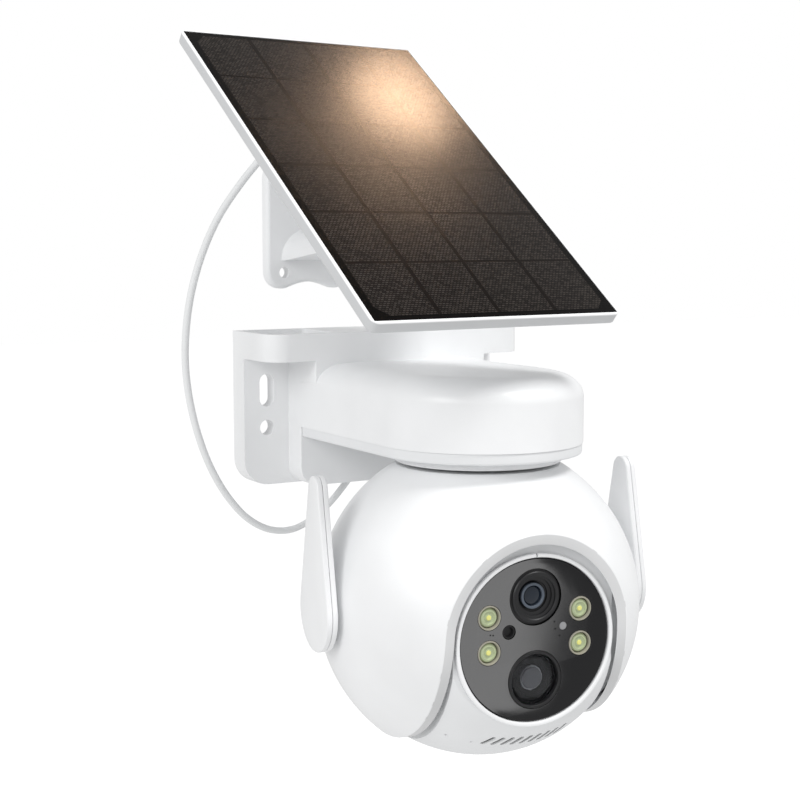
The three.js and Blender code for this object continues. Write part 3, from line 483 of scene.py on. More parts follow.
# ---- camera bracket
PLATE = {"half": 63, "top": 33.25, "front": -11.2, "pocket": -4.7, "corner": 11}
FLANGE = {"front": -37.7, "bottom": 21.75, "corner": 9}
GUSSET_FRONT = -23.4
GUSSET_WALL = 4
SLOT_X, SLOT_Z, SLOT_SIZE = 52.3, 7.8, (6.8, 14.2)
HOLE_R, HOLE_Z = 3.3, -8.4  # the round screw hole under each slot
ARM_HALF, ARM_TOP, ARM_WALL = 42, 20.5, 3.2
BAND_TOP, BAND_FOOT = -7.4, -11.75


def arm_plan(half, back):
    """The arm from above: straight sides and a half-round end about the pan axis."""
    def outline(inset=0.0):
        h = half - inset
        return [(h, back), (-h, back)] + arc((0, AXIS_Y), h, 180, 360, 48)
    return outline


def arm_solid():
    return extrude(arm_plan(ARM_HALF, -8), "z", BAND_TOP, ARM_TOP, head=(13.5, 9.5), steps=9)


def bracket_cuts():
    """The cable's bay with its exit, then each side's pockets, slots and screw hole."""
    top = PLATE["top"]
    inside = GUSSET_FRONT + GUSSET_WALL
    cuts = [
        cuboid((-32, inside, -top + GUSSET_WALL), (32, 1, -8)),
        cuboid((-18, -15, -top - 1), (0, 1, -top + 5)),
    ]
    for side in (-1, 1):
        def span(a, b):
            return sorted((side * a, side * b))
        (a, b), (c, d), (e, f) = span(39, 60), span(30, 60), span(3, 36)
        x = side * SLOT_X
        cuts += [
            cuboid((a, PLATE["pocket"], -top + 6), (b, 1, FLANGE["bottom"])),
            extrude(rounded_box(c, d, FLANGE["front"] + 6, -3, [2] * 4), "z", top - 5, top + 1),
            cuboid((e, inside, -5), (f, 1, top - 4.5)),
            extrude(stadium(x, SLOT_Z, *SLOT_SIZE), "y", -20, 5),
            rod("y", HOLE_R, -20, 5, (x, HOLE_Z)),
            extrude(stadium(x, FLANGE["front"] / 2, *SLOT_SIZE), "z", 0.5, 50),
        ]
    return cuts


def make_bracket():
    top, half = PLATE["top"], PLATE["half"]
    flange = rounded_box(-half, half, FLANGE["front"], 0, [FLANGE["corner"]] * 2 + [0, 0])
    plate = rounded_box(-half, half, -top, top - 1, [PLATE["corner"]] * 2 + [0, 0])
    gusset = rounded_box(-ARM_HALF, ARM_HALF, -top, 22, [8, 8, 0, 0])
    bracket = new_piece("bracket_moulding", extrude(flange, "z", FLANGE["bottom"], top))
    shoulder = rounded_box(-ARM_HALF, ARM_HALF, 11, 22.5, [2, 2, 0, 0])
    joined = [
        extrude(plate, "y", PLATE["front"], 0),
        extrude(gusset, "y", GUSSET_FRONT, -9),
        extrude(shoulder, "y", FLANGE["front"], -9),
        arm_solid(),
    ]
    combine(bracket, joined, "UNION")
    hollow = arm_plan(ARM_HALF - ARM_WALL, GUSSET_FRONT - ARM_WALL)
    bay = extrude(hollow, "z", BAND_TOP - 10, ARM_TOP - ARM_WALL, head=(11, 8), steps=6)
    combine(bracket, [bay, *bracket_cuts()])
    soften(bracket, 0.55, 3)
    dress(bracket, "base", WHITE, ["wall_bracket"])


COVER_SCREWS = ((-33, -40), (33, -40))
HUB_R = 17.5


def make_arm_cover():
    plan = arm_plan(ARM_HALF - 0.4, GUSSET_FRONT - 0.3)
    cover = new_piece("arm_band", extrude(plan, "z", BAND_FOOT, BAND_TOP - 0.12, foot=(0.9, 0.9)))
    holes = [rod("z", HUB_R + 3.8, BAND_FOOT - 1, BAND_TOP + 1, (0, AXIS_Y))]
    for at in COVER_SCREWS:
        holes.append(rod("z", 1.8, BAND_FOOT - 1, BAND_TOP + 1, at))
        holes.append(rod("z", 3.4, BAND_FOOT - 1, BAND_FOOT + 1.8, at))
    combine(cover, holes)
    dress(cover, "base", SHADED_BAND, ["arm_cover"])
    for number, at in enumerate(COVER_SCREWS, 1):
        head = rod("z", 3.1, BAND_FOOT, BAND_FOOT + 1.5, at, edge=0.4)
        screw = new_piece(f"cover_screw_head_{number}", head)
        cross = [cuboid((at[0] - a, at[1] - b, BAND_FOOT - 1), (at[0] + a, at[1] + b, BAND_FOOT + 0.9))
                 for a, b in ((1.5, 0.3), (0.3, 1.5))]
        combine(screw, cross)
        combine(screw, [rod("z", 1.3, BAND_FOOT + 1, BAND_TOP + 5, at)], "UNION")
        dress(screw, "base", STEEL, [f"cover_screw_{number}"])


def make_neck():
    ring = new_piece("neck_disc", pipe("z", 33.6, HUB_R + 6, -15.0, BAND_FOOT - 0.3, (0, AXIS_Y), 0.6, 128))
    dress(ring, "base", WHITE_INNER, ["neck_ring"])


make_bracket()
make_arm_cover()
make_neck()


# ---- ball that pans
BALL_R = 65.0
BALL_INNER = 62.4
NECK_CUT = 56.0
REAR_SPLIT = 36.0
MOUTH_CENTRE = Vector((0, -cos(radians(44)), -sin(radians(44))))
MOUTH_TOP = 31.0
MOUTH_HALF = 33.0
MOUTH_END = 112.0  # degrees down from the front
MOUTH_CORNER = 14.0  # degrees, the size of a corner
MOUTH_FLARE = 2.4  # how much wider each side gets per radian downward
LIP = 4.4
# The cutter's rings: spread from the outline, and distance from the centre.
MOUTH_SECTIONS = [(0.1, 54.0), (1.6, 61.4), (1.6, 62.55), (1.72, 62.7), (LIP - 0.1, 64.6),
                  (LIP + 0.15, 64.82), (LIP + 0.6, 65.1), (LIP + 4, 67.0)]


def on_wall(x, down):
    """The point of the ball's inner wall at x across and an angle down from the front."""
    ring = sqrt(BALL_INNER**2 - x * x)
    return Vector((x, -ring * cos(down), -ring * sin(down)))


def mouth_outline():
    """Directions from the ball's centre to a U-shaped line just inside the mouth's edge."""
    points = []
    for i in range(49):
        t = pi * i / 48
        half = MOUTH_TOP + (MOUTH_HALF - MOUTH_TOP) * (1 - sin(t))
        x, z = half * cos(t), MOUTH_TOP * sin(t)
        points.append(Vector((x, -sqrt(BALL_INNER**2 - x * x - z * z), z)))
    side_end = radians(MOUTH_END - MOUTH_CORNER)
    sides = [side_end * i / 40 for i in range(1, 40)]
    points += [on_wall(-(MOUTH_HALF + MOUTH_FLARE * down), down) for down in sides]
    wide = MOUTH_HALF + MOUTH_FLARE * side_end
    corner = BALL_INNER * radians(MOUTH_CORNER)
    turns = [(corner - wide, 180 - 7.5 * i) for i in range(13)]
    turns += [(wide - corner, 90 - 7.5 * i) for i in range(13)]
    for middle, turn in turns:
        x = middle + corner * cos(radians(turn))
        down = radians(MOUTH_END - MOUTH_CORNER + MOUTH_CORNER * sin(radians(turn)))
        points.append(on_wall(x, down))
    points += [on_wall(MOUTH_HALF + MOUTH_FLARE * down, down) for down in reversed(sides)]
    return [p.normalized() for p in points]


def mouth_cutter():
    """The mouth as a solid: straight through the wall, then a sloping rebate with a soft outer edge."""
    outline = mouth_outline()
    count = len(outline)
    rings = []
    for spread, radius in MOUTH_SECTIONS:
        ring = []
        for i, way in enumerate(outline):
            along = outline[(i + 1) % count] - outline[i - 1]
            out = along.cross(way).normalized()
            if out.dot(way - MOUTH_CENTRE) < 0:
                out = -out
            ring.append((way + out * spread / BALL_R).normalized() * radius)
        rings.append(ring)
    rings.insert(0, [MOUTH_CENTRE * 45])
    rings.append([way.lerp(MOUTH_CENTRE, 0.45).normalized() * 100 for way in outline])
    rings.append([MOUTH_CENTRE * 110])
    return loft(rings)


def globe(radius, segments=160):
    half = segments // 2
    angles = [pi * k / half for k in range(half + 1)]
    profile = [(radius * sin(a), -radius * cos(a)) for a in angles]
    profile[0], profile[-1] = (0, -radius), (0, radius)
    return revolve(profile, "z", segments=segments)


# Which faces get the rebate's painted shade: their distance from the centre, and how far they lean.
SHADED_REBATE_RADII = (62.5, 64.9)
SHADED_REBATE_SLOPE = (0.6, 0.97)  # 1 is a face that points straight out


def paint_rebate_shade(shell):
    """The sloping rebate round the mouth is in a greyer satin material, its grey a painted shade for the
    inward slope.
    """
    shell.data.materials.append(REBATE_SHADE)
    for face in shell.data.polygons:
        radius = face.center.length / MM
        slope = abs(face.normal.dot(face.center.normalized()))
        if SHADED_REBATE_RADII[0] < radius < SHADED_REBATE_RADII[1] and SHADED_REBATE_SLOPE[0] < slope < SHADED_REBATE_SLOPE[1]:
            face.material_index = 1


REAR_SCREWS = ((-26, 28), (26, 28), (-26, -28), (26, -28))
REAR_SCREW_TOP = 51.5  # flush with the ball at the outer side of each screw
ANTENNA_Z = 1.5
PAD = (60.1, 65.4)  # the flat pad under each antenna, from inside the wall to just outside it


def make_pan_shells():
    for name, node, keep in (
        ("ball_front", "pan_front_shell", slab("y", high=REAR_SPLIT - 0.15)),
        ("ball_rear", "pan_rear_cover", slab("y", REAR_SPLIT + 0.15)),
    ):
        shell = new_piece(name, globe(BALL_R), HEAD)
        core = new_piece("core", globe(BALL_INNER, 96), HEAD)
        combine(core, [slab("z", NECK_CUT - 3)])
        combine(shell, [slab("z", NECK_CUT)])
        combine(shell, [core])
        pads = [rod("x", 8, *sorted((side * PAD[0], side * PAD[1])), (0, ANTENNA_Z), edge=0.3)
                for side in (-1, 1)]
        combine(shell, pads, "UNION")
        cuts = [mouth_cutter(), rod("x", 4.3, -FAR, FAR, (0, ANTENNA_Z)), rod("z", 12, 40, 70)]
        if node == "pan_rear_cover":
            cuts += [rod("y", 1.6, REAR_SPLIT + 1, 70, at) for at in REAR_SCREWS]
        combine(shell, cuts)
        combine(shell, [keep], "INTERSECT")
        true_sphere(shell, BALL_R, BALL_INNER)
        dress(shell, "pan_head", WHITE, [node])
        paint_rebate_shade(shell)


def make_rear_screws():
    top = REAR_SCREW_TOP
    for number, at in enumerate(REAR_SCREWS, 1):
        screw = new_piece(f"rear_screw_{number}", rod("y", 1.5, top - 1.0, top, at, edge=0.2), HEAD)
        combine(screw, [cuboid((at[0] - a, top - 0.5, at[1] - b), (at[0] + a, top + 1, at[1] + b))
                        for a, b in ((0.95, 0.2), (0.2, 0.95))])
        dress(screw, "pan_head", STEEL)


HUB_BORE, HUB_TOP = 12.0, 75.35


def make_hub():
    foot = NECK_CUT + 0.3
    hub = new_piece("pan_hub_turned", pipe("z", HUB_R, HUB_BORE, foot, HUB_TOP, edge=0.3), HEAD)
    combine(hub, [pipe("z", HUB_R + 5, HUB_BORE, foot, NECK_CUT + 2.6, edge=0.3)], "UNION")
    dress(hub, "pan_head", GREY, ["pan_hub"])


# ---- antennas
ANTENNA = {"inner": 65.8, "outer": 70.4, "base": 15.8, "tip": 5.5, "tip_z": 49.2}


def teardrop(inset=0.0):
    """A paddle seen from the side, as (y, z): two circles and their tangents."""
    lean = degrees(asin((ANTENNA["base"] - ANTENNA["tip"]) / (ANTENNA["tip_z"] - ANTENNA_Z)))
    head = arc((0, ANTENNA["tip_z"]), ANTENNA["tip"] - inset, lean, 180 - lean, 20)
    foot = arc((0, ANTENNA_Z), ANTENNA["base"] - inset, 180 - lean, 360 + lean, 40)
    return head + foot


def make_antennas():
    middle = (ANTENNA["inner"] + ANTENNA["outer"]) / 2
    soft, seam = (0.8, 0.7), (0.18, 0.18)  # the rims outside, and where the halves meet
    for side, sign in (("left", -1), ("right", 1)):
        parts = (("inner", ANTENNA["inner"], middle - 0.12), ("outer", middle + 0.12, ANTENNA["outer"]))
        for half, near, far in parts:
            rims = {"foot": soft, "head": seam} if half == "inner" else {"foot": seam, "head": soft}
            paddle = extrude(teardrop, "x", near, far, **rims)
            if sign < 0:
                paddle.transform(Matrix.Scale(-1, 4, (1, 0, 0)))
            piece = new_piece(f"paddle_{side}_{half}", paddle, HEAD)
            if half == "inner":
                pin = rod("x", 4, *sorted((sign * 62.4, sign * (near + 1))), (0, ANTENNA_Z))
                combine(piece, [pin], "UNION")
            dress(piece, f"antenna_{side}", WHITE, [f"antenna_{side}_{half}"])


make_pan_shells()
make_rear_screws()
make_hub()
make_antennas()


# ---- tilting head
HEAD_R = 61.5
HEAD_SIDE = 56.0
HEAD_FRONT = 49.0
HEAD_DRUM = 50.5
BAND_HALF, STEP_R = 33.6, 46.0  # past this half-width the head is cut down to this radius
HEAD_WALL = 2.2
FACE_Z = -4.6
FACE_R = 31.2
FACE_HOLE_R = FACE_R + 0.4
FACE_FRONT = 50.0
BOWL_TOP, BOWL_BACK = 43, 200  # degrees; the bowl is cut away between the two


def bowl(radius, front, edge):
    """A ball about the tilt axis with a flat front and a soft rim between the two."""
    rim_r = sqrt((radius - edge) ** 2 - (front - edge) ** 2)
    lean = degrees(atan2(rim_r, front - edge))
    rim = [(r, -d) for d, r in arc((front - edge, rim_r), edge, 0, lean, 6)]
    ball = [(r, -d) for d, r in arc((0, 0), radius, lean, 180, 72)][1:]
    ball[-1] = (0, radius)
    return revolve([(0, -front), *rim, *ball], "y", segments=144)


def wedge(start, end, reach=110):
    """A prism across the head, over the sector that the bowl doesn't reach."""
    points = [(0.0, 0.0)] + [(-reach * cos(radians(a)), reach * sin(radians(a)))
                             for a in range(start, end + 1, 13)]
    return loft([[Vector((x, y, z)) for y, z in points] for x in (-FAR, FAR)])


def head_solid(name, shrink):
    """The head without its window and slots: a bowl under a drum, all sides moved in by shrink."""
    piece = new_piece(name, bowl(HEAD_R - shrink, HEAD_FRONT - shrink, 1.6), HEAD)
    side = HEAD_SIDE - shrink
    combine(piece, [wedge(BOWL_TOP, BOWL_BACK)])
    drum = new_piece("drum", rod("x", HEAD_DRUM - shrink, -side - 3, side + 3, segments=144), HEAD)
    combine(drum, [globe(HEAD_R - shrink)], "INTERSECT")
    combine(piece, [drum], "UNION")
    ends = [sorted((sign * (BAND_HALF - shrink), sign * FAR)) for sign in (-1, 1)]
    combine(piece, [pipe("x", FAR, STEP_R - shrink, low, high, edge=0.4, segments=144)
                    for low, high in ends])
    combine(piece, [slab("x", side), slab("x", high=-side),
                    slab("y", high=-HEAD_FRONT + shrink + 0.02)])
    return piece


SOUND = {"count": 9, "first": -14, "pitch": 3.9, "width": 1.9, "length": 7.4, "slant": -26}
TO_SOUND = Matrix.Rotation(radians(180 - 41), 4, "X")  # turns +Z down to the slots' middle
TO_PINHOLES = Matrix.Rotation(radians(180 - 38), 4, "X")


def sound_slots(inset=0.0):
    """Slanted slots, side by side under the face."""
    slots = []
    slant = Matrix.Rotation(radians(SOUND["slant"]), 4, "Z")
    for i in range(SOUND["count"]):
        slot = extrude(stadium(0, 0, SOUND["width"] - 2 * inset, SOUND["length"] - 2 * inset), "z", 52, 66)
        slot.transform(Matrix.Translation((SOUND["first"] + SOUND["pitch"] * i, 0, 0)) @ TO_SOUND @ slant)
        slots.append(slot)
    return slots


def grille():
    """The sound slots and two pinholes under the face."""
    cuts = sound_slots()
    for x in (-19.5, -29):
        hole = rod("z", 0.55, 50, 66, segments=16)
        hole.transform(Matrix.Translation((x, 0, 0)) @ TO_PINHOLES)
        cuts.append(hole)
    return cuts


def hollow_globe(name, outer, inner):
    shell = new_piece(name, globe(outer, 96), HEAD)
    combine(shell, [globe(inner, 96)])
    return shell


def make_slot_shade():
    """A black sheet on the inside of the head, which bulges into the sound slots: painted shade that makes
    the slots read dark.
    """
    inner = HEAD_R - HEAD_WALL - 0.1
    shade_sheet = hollow_globe("slot_shade_sheet", inner, inner - 0.5)
    patch = extrude(rounded_box(-20, 23, -7, 7, [3] * 4), "z", 40, 70)
    patch.transform(TO_SOUND)
    combine(shade_sheet, [patch], "INTERSECT")
    for slot in sound_slots(inset=0.1):
        shade_bulge = hollow_globe("shade_bulge", HEAD_R - 0.6, inner - 0.3)
        combine(shade_bulge, [slot], "INTERSECT")
        combine(shade_sheet, [shade_bulge], "UNION")
    dress(shade_sheet, "tilt_head", BLACK)


CARD_X, CARD_Y0, CARD_Y1, CARD_GAP = 11, -9, 7, 0.25


def make_head_shells():
    for name, node, keep in (
        ("bowl_front", "head_front_shell", slab("y", high=-0.12)),
        ("bowl_rear", "head_rear_shell", slab("y", 0.12)),
    ):
        shell = head_solid(name, 0.0)
        core = head_solid("core", HEAD_WALL)
        combine(shell, [core])
        well = rounded_box(-CARD_X - CARD_GAP, CARD_X + CARD_GAP, CARD_Y0 - CARD_GAP,
                           CARD_Y1 + CARD_GAP, [2] * 4)
        cuts = [rod("y", FACE_HOLE_R, -60, -40, (0, FACE_Z), segments=128), rod("x", 6.4, -70, 70),
                extrude(well, "z", -70, -50), *grille()]
        combine(shell, cuts)
        # The upper half of a collar closes part of the opening between the window and the drum.
        collar = pipe("y", FACE_R + 1.8, FACE_HOLE_R, -48.9, -38, (0, FACE_Z), 0.2, 128)
        collar = new_piece("collar", collar, HEAD)
        combine(collar, [rod("x", HEAD_DRUM - HEAD_WALL, -FAR, FAR, segments=144), slab("z", high=10)])
        combine(shell, [collar], "UNION")
        combine(shell, [keep], "INTERSECT")
        true_sphere(shell, HEAD_R, HEAD_R - HEAD_WALL)
        dress(shell, "tilt_head", WHITE_INNER, [node])


def make_card_cover():
    cover = new_piece("card_plug", globe(HEAD_R), HEAD)
    patch = rounded_box(-CARD_X, CARD_X, CARD_Y0, CARD_Y1, [1.8] * 4)
    combine(cover, [globe(HEAD_R - 1.8, 96)])
    combine(cover, [extrude(patch, "z", -70, -50)], "INTERSECT")
    combine(cover, [rod("z", 0.9, -61.8, -60, (0, CARD_Y0 + 2.6), edge=0.3),
                    cuboid((-5, CARD_Y1 - 2.4, -60.3), (5, CARD_Y1 - 0.3, -58.2))], "UNION")
    true_sphere(cover, HEAD_R)
    dress(cover, "card_flap", WHITE_SOFT, ["card_cover"])


LENS_Z, PIR_Z = 11.8, -19.9
LAMPS = [(side * 19.2, z) for side in (-1, 1) for z in (5.6, -7.7)]
SENSOR_AT, INDICATOR_AT = (-11, -0.6), (11.9, -0.4)
FACE_HOLES = [(10.9, (0, LENS_Z), 96), (11.3, (0, PIR_Z), 96), (2.8, SENSOR_AT, 48)]
FACE_HOLES += [(4.9, at, 48) for at in LAMPS]
FACE_PINHOLES = ((8.1, 1.6), (8.5, -1.2), (10.3, -4.0), (-18.8, -0.9), (-17.6, -1.1))


def head_piece(name, bm, material, replaces=(), crease=CREASE):
    dress(new_piece(name, bm, HEAD, crease), "tilt_head", material, replaces)


def turned(profile, across, segments=72, closed=False):
    """A solid turned about a line through the face; heights run inward from the face's front."""
    points = [(radius, height - FACE_FRONT) for radius, height in profile]
    return revolve(points, "y", (across[0], 0, across[1]), segments, closed)


def make_face():
    ring = new_piece("face_ring", pipe("y", 33.2, 31.5, -51.0, -49.3, (0, FACE_Z), 0.55, 160), HEAD)
    notch = [(-0.9, 35), (0.9, 35), (0, 30.4)]
    combine(ring, [loft([[Vector((x, y, z + FACE_Z)) for x, z in notch] for y in (-60, -40)])])
    dress(ring, "tilt_head", WHITE, ["trim_ring"])
    plate = new_piece("face_glass", rod("y", FACE_R, -FACE_FRONT, -47.6, (0, FACE_Z), 0.35, 160), HEAD)
    holes = [rod("y", radius, -60, -40, at, segments=sides) for radius, at, sides in FACE_HOLES]
    holes += [rod("y", 0.32, -60, -FACE_FRONT + 1, at, segments=12) for at in FACE_PINHOLES]
    holes.append(rod("y", 1.7, -60, -FACE_FRONT + 0.5, INDICATOR_AT))
    combine(plate, holes)
    dress(plate, "tilt_head", FACE, ["face_plate"])
    lamp = rod("y", 1.55, -FACE_FRONT + 0.1, -FACE_FRONT + 0.48, INDICATOR_AT, 0.15)
    head_piece("indicator", lamp, DISC)


def make_lens():
    steps = [(5.2, 20), (5.2, 3.4), (6.1, 3.1), (6.1, 2.2), (7.4, 1.9), (7.4, 0.9), (8.3, 0.6),
             (8.3, -0.25), (8.7, -0.55), (9.5, -0.6), (9.8, -0.3), (9.8, 0.5), (10.7, 0.7), (10.7, 2.6),
             (7.9, 3.4), (7.9, 20)]
    at = (0, LENS_Z)
    head_piece("lens_mount", turned(steps, at, 96, True), BLACK, ["lens_barrel"])
    rim = pipe("y", 5.0, 3.9, 2.0 - FACE_FRONT, 3.6 - FACE_FRONT, at, 0.25)
    head_piece("lens_retainer", rim, LENS_RIM)
    radius, foot, rise = 3.8, 3.2, 1.3
    dome = [(0, 10), (4.9, 10), (4.9, 3.9), (radius, 3.9), (radius, foot)]
    dome += [(radius * cos(radians(a)), foot - rise * sin(radians(a)))
             for a in range(10, 90, 10)]
    head_piece("front_element", turned([*dome, (0, 1.9)], at), GLASS, ["lens_glass"])


CUP = [(0, 6), (4.75, 6), (4.75, 0.1), (4.55, -0.25), (4.2, -0.25), (4.0, 0.2), (3.9, 3), (0, 3.6)]
DISH = [(0, 2.9), (3.7, 2.9), (3.7, 1.2), (3.2, 0.55), (2.5, 0.3), (2.3, 0.75), (1.5, 0.9),
        (1.35, 0.6), (0, 0.6)]
CHIP = [(0, 0.55), (1.0, 0.55), (0.8, 0.15), (0, 0.05)]


def make_lamps():
    for number, at in enumerate(LAMPS, 1):
        head_piece(f"lamp_cup_{number}", turned(CUP, at, 48), LAMP_RIM, [f"lamp_{number}"])
        head_piece(f"lamp_lens_{number}", turned(DISH, at, 48), PHOSPHOR)
        head_piece(f"lamp_chip_{number}", turned(CHIP, at, 24), LAMP_CHIP)


# The faceted window's rings: radius, depth behind the face's front, and turn in parts of a side.
PIR_RINGS = [(0, 2.4, 0), (9.8, 2.4, 0), (9.8, 1.5, 0), (7.4, 0.2, 0.5), (4.2, -0.7, 0), (0, -1.0, 0)]
PIR_SIDES = 8
PIR_WELL = [(0, 5.2), (9.7, 5.2), (9.7, 2.7), (9.2, 2.7), (8.6, 4.4), (0, 4.6)]


def make_pir():
    front, at = -FACE_FRONT, (0, PIR_Z)
    bezel = pipe("y", 11.1, 9.9, front - 0.25, front + 3.2, at, 0.3, 96)
    head_piece("pir_bezel", bezel, BLACK)
    rings = []
    for radius, depth, turn in PIR_RINGS:
        angles = [2 * pi * (i + turn) / PIR_SIDES for i in range(PIR_SIDES if radius else 1)]
        rings.append([Vector((radius * cos(a), front + depth, PIR_Z + radius * sin(a)))
                      for a in angles])
    head_piece("pir_window", loft(rings), SMOKE, ["pir_lens"], crease=4)
    head_piece("pir_well", turned(PIR_WELL, at), BLACK)
    head_piece("pir_eye", rod("y", 3.9, front + 2.7, front + 4.4, at, 0.4), DISC)


def make_sensor():
    profile = [(0, 4), (2.5, 4), (2.5, 0.3), (2.1, 0.3), (1.7, 2), (0, 2.2)]
    guide = turned(profile, SENSOR_AT, 32)
    head_piece("light_guide", guide, BLACK, ["light_sensor"])


make_head_shells()
make_slot_shade()
make_card_cover()
make_face()
make_lens()
make_lamps()
make_pir()
make_sensor()


# ---- solar panel
PANEL_HALF = (56.5, 89.5)
PANEL_THICK = 5.0
PANEL_LIP = 1.1
RIB = {"x": 44, "half_length": 79}


def make_panel():
    w, h = PANEL_HALF
    outline = rounded_box(-w, w, -h, h, [3.2] * 4)
    body = extrude(outline, "z", -PANEL_THICK, 0, foot=(0.9, 0.9), head=(0.45, 0.45))
    tray = new_piece("panel_tray", body, PANEL)
    seat = rounded_box(-w + PANEL_LIP, w - PANEL_LIP, -h + PANEL_LIP, h - PANEL_LIP, [0.5] * 4)
    combine(tray, [extrude(seat, "z", -1.8, 1)])
    ribs = []
    for x in (-RIB["x"], RIB["x"]):
        rib = rounded_box(x - 1, x + 1, -RIB["half_length"], RIB["half_length"], [1] * 4)
        ribs.append(extrude(rib, "z", -PANEL_THICK - 0.6, -PANEL_THICK + 1))
    combine(tray, ribs, "UNION")
    dress(tray, "panel", SHADED_SIDES_FRAME, ["panel_frame"])
    edge = PANEL_LIP + 0.15
    pane = rounded_box(-w + edge, w - edge, -h + edge, h - edge, [0.4] * 4)
    glass = new_piece("panel_glass", extrude(pane, "z", -1.6, -0.1, head=(0.2, 0.2)), PANEL)
    dress(glass, "panel", SOLAR, ["solar_glass"])


JUNCTION = (-7, 27, 16, 58)
JUNCTION_BACK = -15


def make_junction():
    x0, x1, y0, y1 = JUNCTION
    back = JUNCTION_BACK
    outline = rounded_box(x0, x1, y0, y1, [4] * 4)
    case = extrude(outline, "z", back, -PANEL_THICK - 0.3, foot=(1.4, 1.4))
    box = new_piece("junction_case", case, PANEL)
    groove = rounded_box(x0 - 1, x1 + 1, y0 - 1, y1 + 1, [5] * 4)
    inner = rounded_box(x0 + 0.4, x1 - 0.4, y0 + 0.4, y1 - 0.4, [3.6] * 4)
    band = new_piece("band", extrude(groove, "z", back + 2.4, back + 2.9), PANEL)
    combine(band, [extrude(inner, "z", back + 2, back + 4)])
    corners = [(x, y) for x in (x0 + 4.5, x1 - 4.5) for y in (y0 + 4.5, y1 - 4.5)]
    combine(box, [band] + [rod("z", 2.2, back - 1, back + 1.4, at) for at in corners])
    dress(box, "panel", WHITE, ["junction_box"])
    profile = [(0, 0), (4.2, 0), (4.2, 2.6), (3.9, 3.0), (3.3, 3.4)]
    for k in range(4):
        ring, waist, start = 3.2 - 0.22 * k, 2.7 - 0.2 * k, 2.3 * k
        profile += [(ring, 4.6 + start), (waist, 5.1 + start), (waist, 6.2 + start)]
    profile += [(2.2, 13.4), (1.9, 14), (0, 14)]
    gland = revolve(profile, "x", segments=32)
    gland.transform(Matrix.Translation((x0 - 0.3, 37, -10)) @ Matrix.Rotation(pi, 4, "Z"))
    dress(new_piece("cable_boot", gland, PANEL), "panel", WHITE_SOFT, ["cable_gland"])


HINGE_X = HINGE.x / MM
BOLT_BORE = 3.3


def make_lug():
    """The panel's half of the hinge: a foot on its back, and a tongue round the bolt."""
    x = HINGE_OFFSET
    foot = rounded_box(x - 10, x + 10, -15, 13, [3] * 4)
    lug = new_piece("panel_lug", extrude(foot, "z", -8.3, -PANEL_THICK - 0.3, foot=(1, 1)), PANEL)
    side = [(9, -8), *reversed(arc((0, -HINGE_DROP), 7, 180, 360, 24)), (-9, -8)]
    tongue = loft([[Vector((w, y, z)) for y, z in side] for w in (x - 4, x + 4)])
    combine(lug, [tongue], "UNION")
    combine(lug, [rod("x", BOLT_BORE, -40, 40, (0, -HINGE_DROP))])
    soften(lug, 0.4, 2)
    dress(lug, "panel", WHITE, ["hinge_lug"])


make_panel()
make_junction()
make_lug()


# ---- panel's wall bracket
MOUNT = {"half": 20.4, "bottom": 51, "top": 106, "depth": 5, "lobe": 7.5, "dip": 2.9}
MOUNT_HOLES = {"x": 12.4, "radius": 2.4, "z": 58, "slot_z": 95, "slot_length": 10.8}
EARS = (4.5, 9.3)


def mount_outline(inset=0.0):
    """A plate with a round lobe at each corner and a hollow waist at top and bottom."""
    m = MOUNT
    r = m["lobe"] - inset
    left, right = HINGE_X - m["half"] + m["lobe"], HINGE_X + m["half"] - m["lobe"]
    low, high = m["bottom"] + m["lobe"], m["top"] - m["lobe"]

    def waist(a, b, level):
        points = []
        for i in range(1, 16):
            t = i / 16
            points.append((a[0] + (b[0] - a[0]) * t, a[1] + (level - a[1]) * sin(pi * t)))
        return points

    foot_a = arc((left, low), r, 180, 285, 12)
    foot_b = arc((right, low), r, 255, 360, 12)
    top_a = arc((right, high), r, 0, 105, 12)
    top_b = arc((left, high), r, 75, 180, 12)
    dip, peak = m["bottom"] + m["dip"] + inset, m["top"] - m["dip"] - inset
    return (foot_a + waist(foot_a[-1], foot_b[0], dip) + foot_b + top_a
            + waist(top_a[-1], top_b[0], peak) + top_b)


def mount_arm():
    """Half a cone with its flat side down, rising to the hinge."""
    rings = []
    for y, z, r in ((-4, 63.2, 14.4), (-6, 63.3, 13.2), (-9, 63.6, 12.6), (-58, 70, 9.4)):
        rings.append([Vector((HINGE_X + u, y, z + v)) for u, v in arc((0, 0), r, 0, 180, 32)])
    return loft(rings)


def mount_ear(low, high):
    """One of the two cheeks that hold the panel's tongue, in the hinge's frame."""
    side = [(24, -16.4), (24, -6), (5, 6.3), *arc((0, 0), 8, 45, 225, 24), (8, -14.4)]
    return loft([[Vector((x, y, z)) for y, z in side] for x in (low, high)])


def make_mount():
    plate = new_piece("panel_mount", extrude(mount_outline, "y", -MOUNT["depth"], 0, foot=(1.8, 1.8)))
    arm = new_piece("arm", mount_arm())
    combine(arm, [new_piece("gap", cuboid((-EARS[0], -30, -25), (EARS[0], 20, 25)), SWIVEL)])
    ears = [new_piece("ear", mount_ear(*sorted((side * EARS[0], side * EARS[1]))), SWIVEL)
            for side in (-1, 1)]
    combine(plate, [arm, *ears], "UNION")
    cuts = [new_piece("bore", rod("x", BOLT_BORE, -60, 60), SWIVEL)]
    holes = MOUNT_HOLES
    for x in (HINGE_X - holes["x"], HINGE_X + holes["x"]):
        slot = stadium(x, holes["slot_z"], 2 * holes["radius"], holes["slot_length"])
        cuts += [rod("y", holes["radius"], -20, 5, (x, holes["z"])), extrude(slot, "y", -20, 5)]
    combine(plate, cuts)
    soften(plate, 0.4, 2)
    dress(plate, "base", WHITE, ["panel_bracket"])


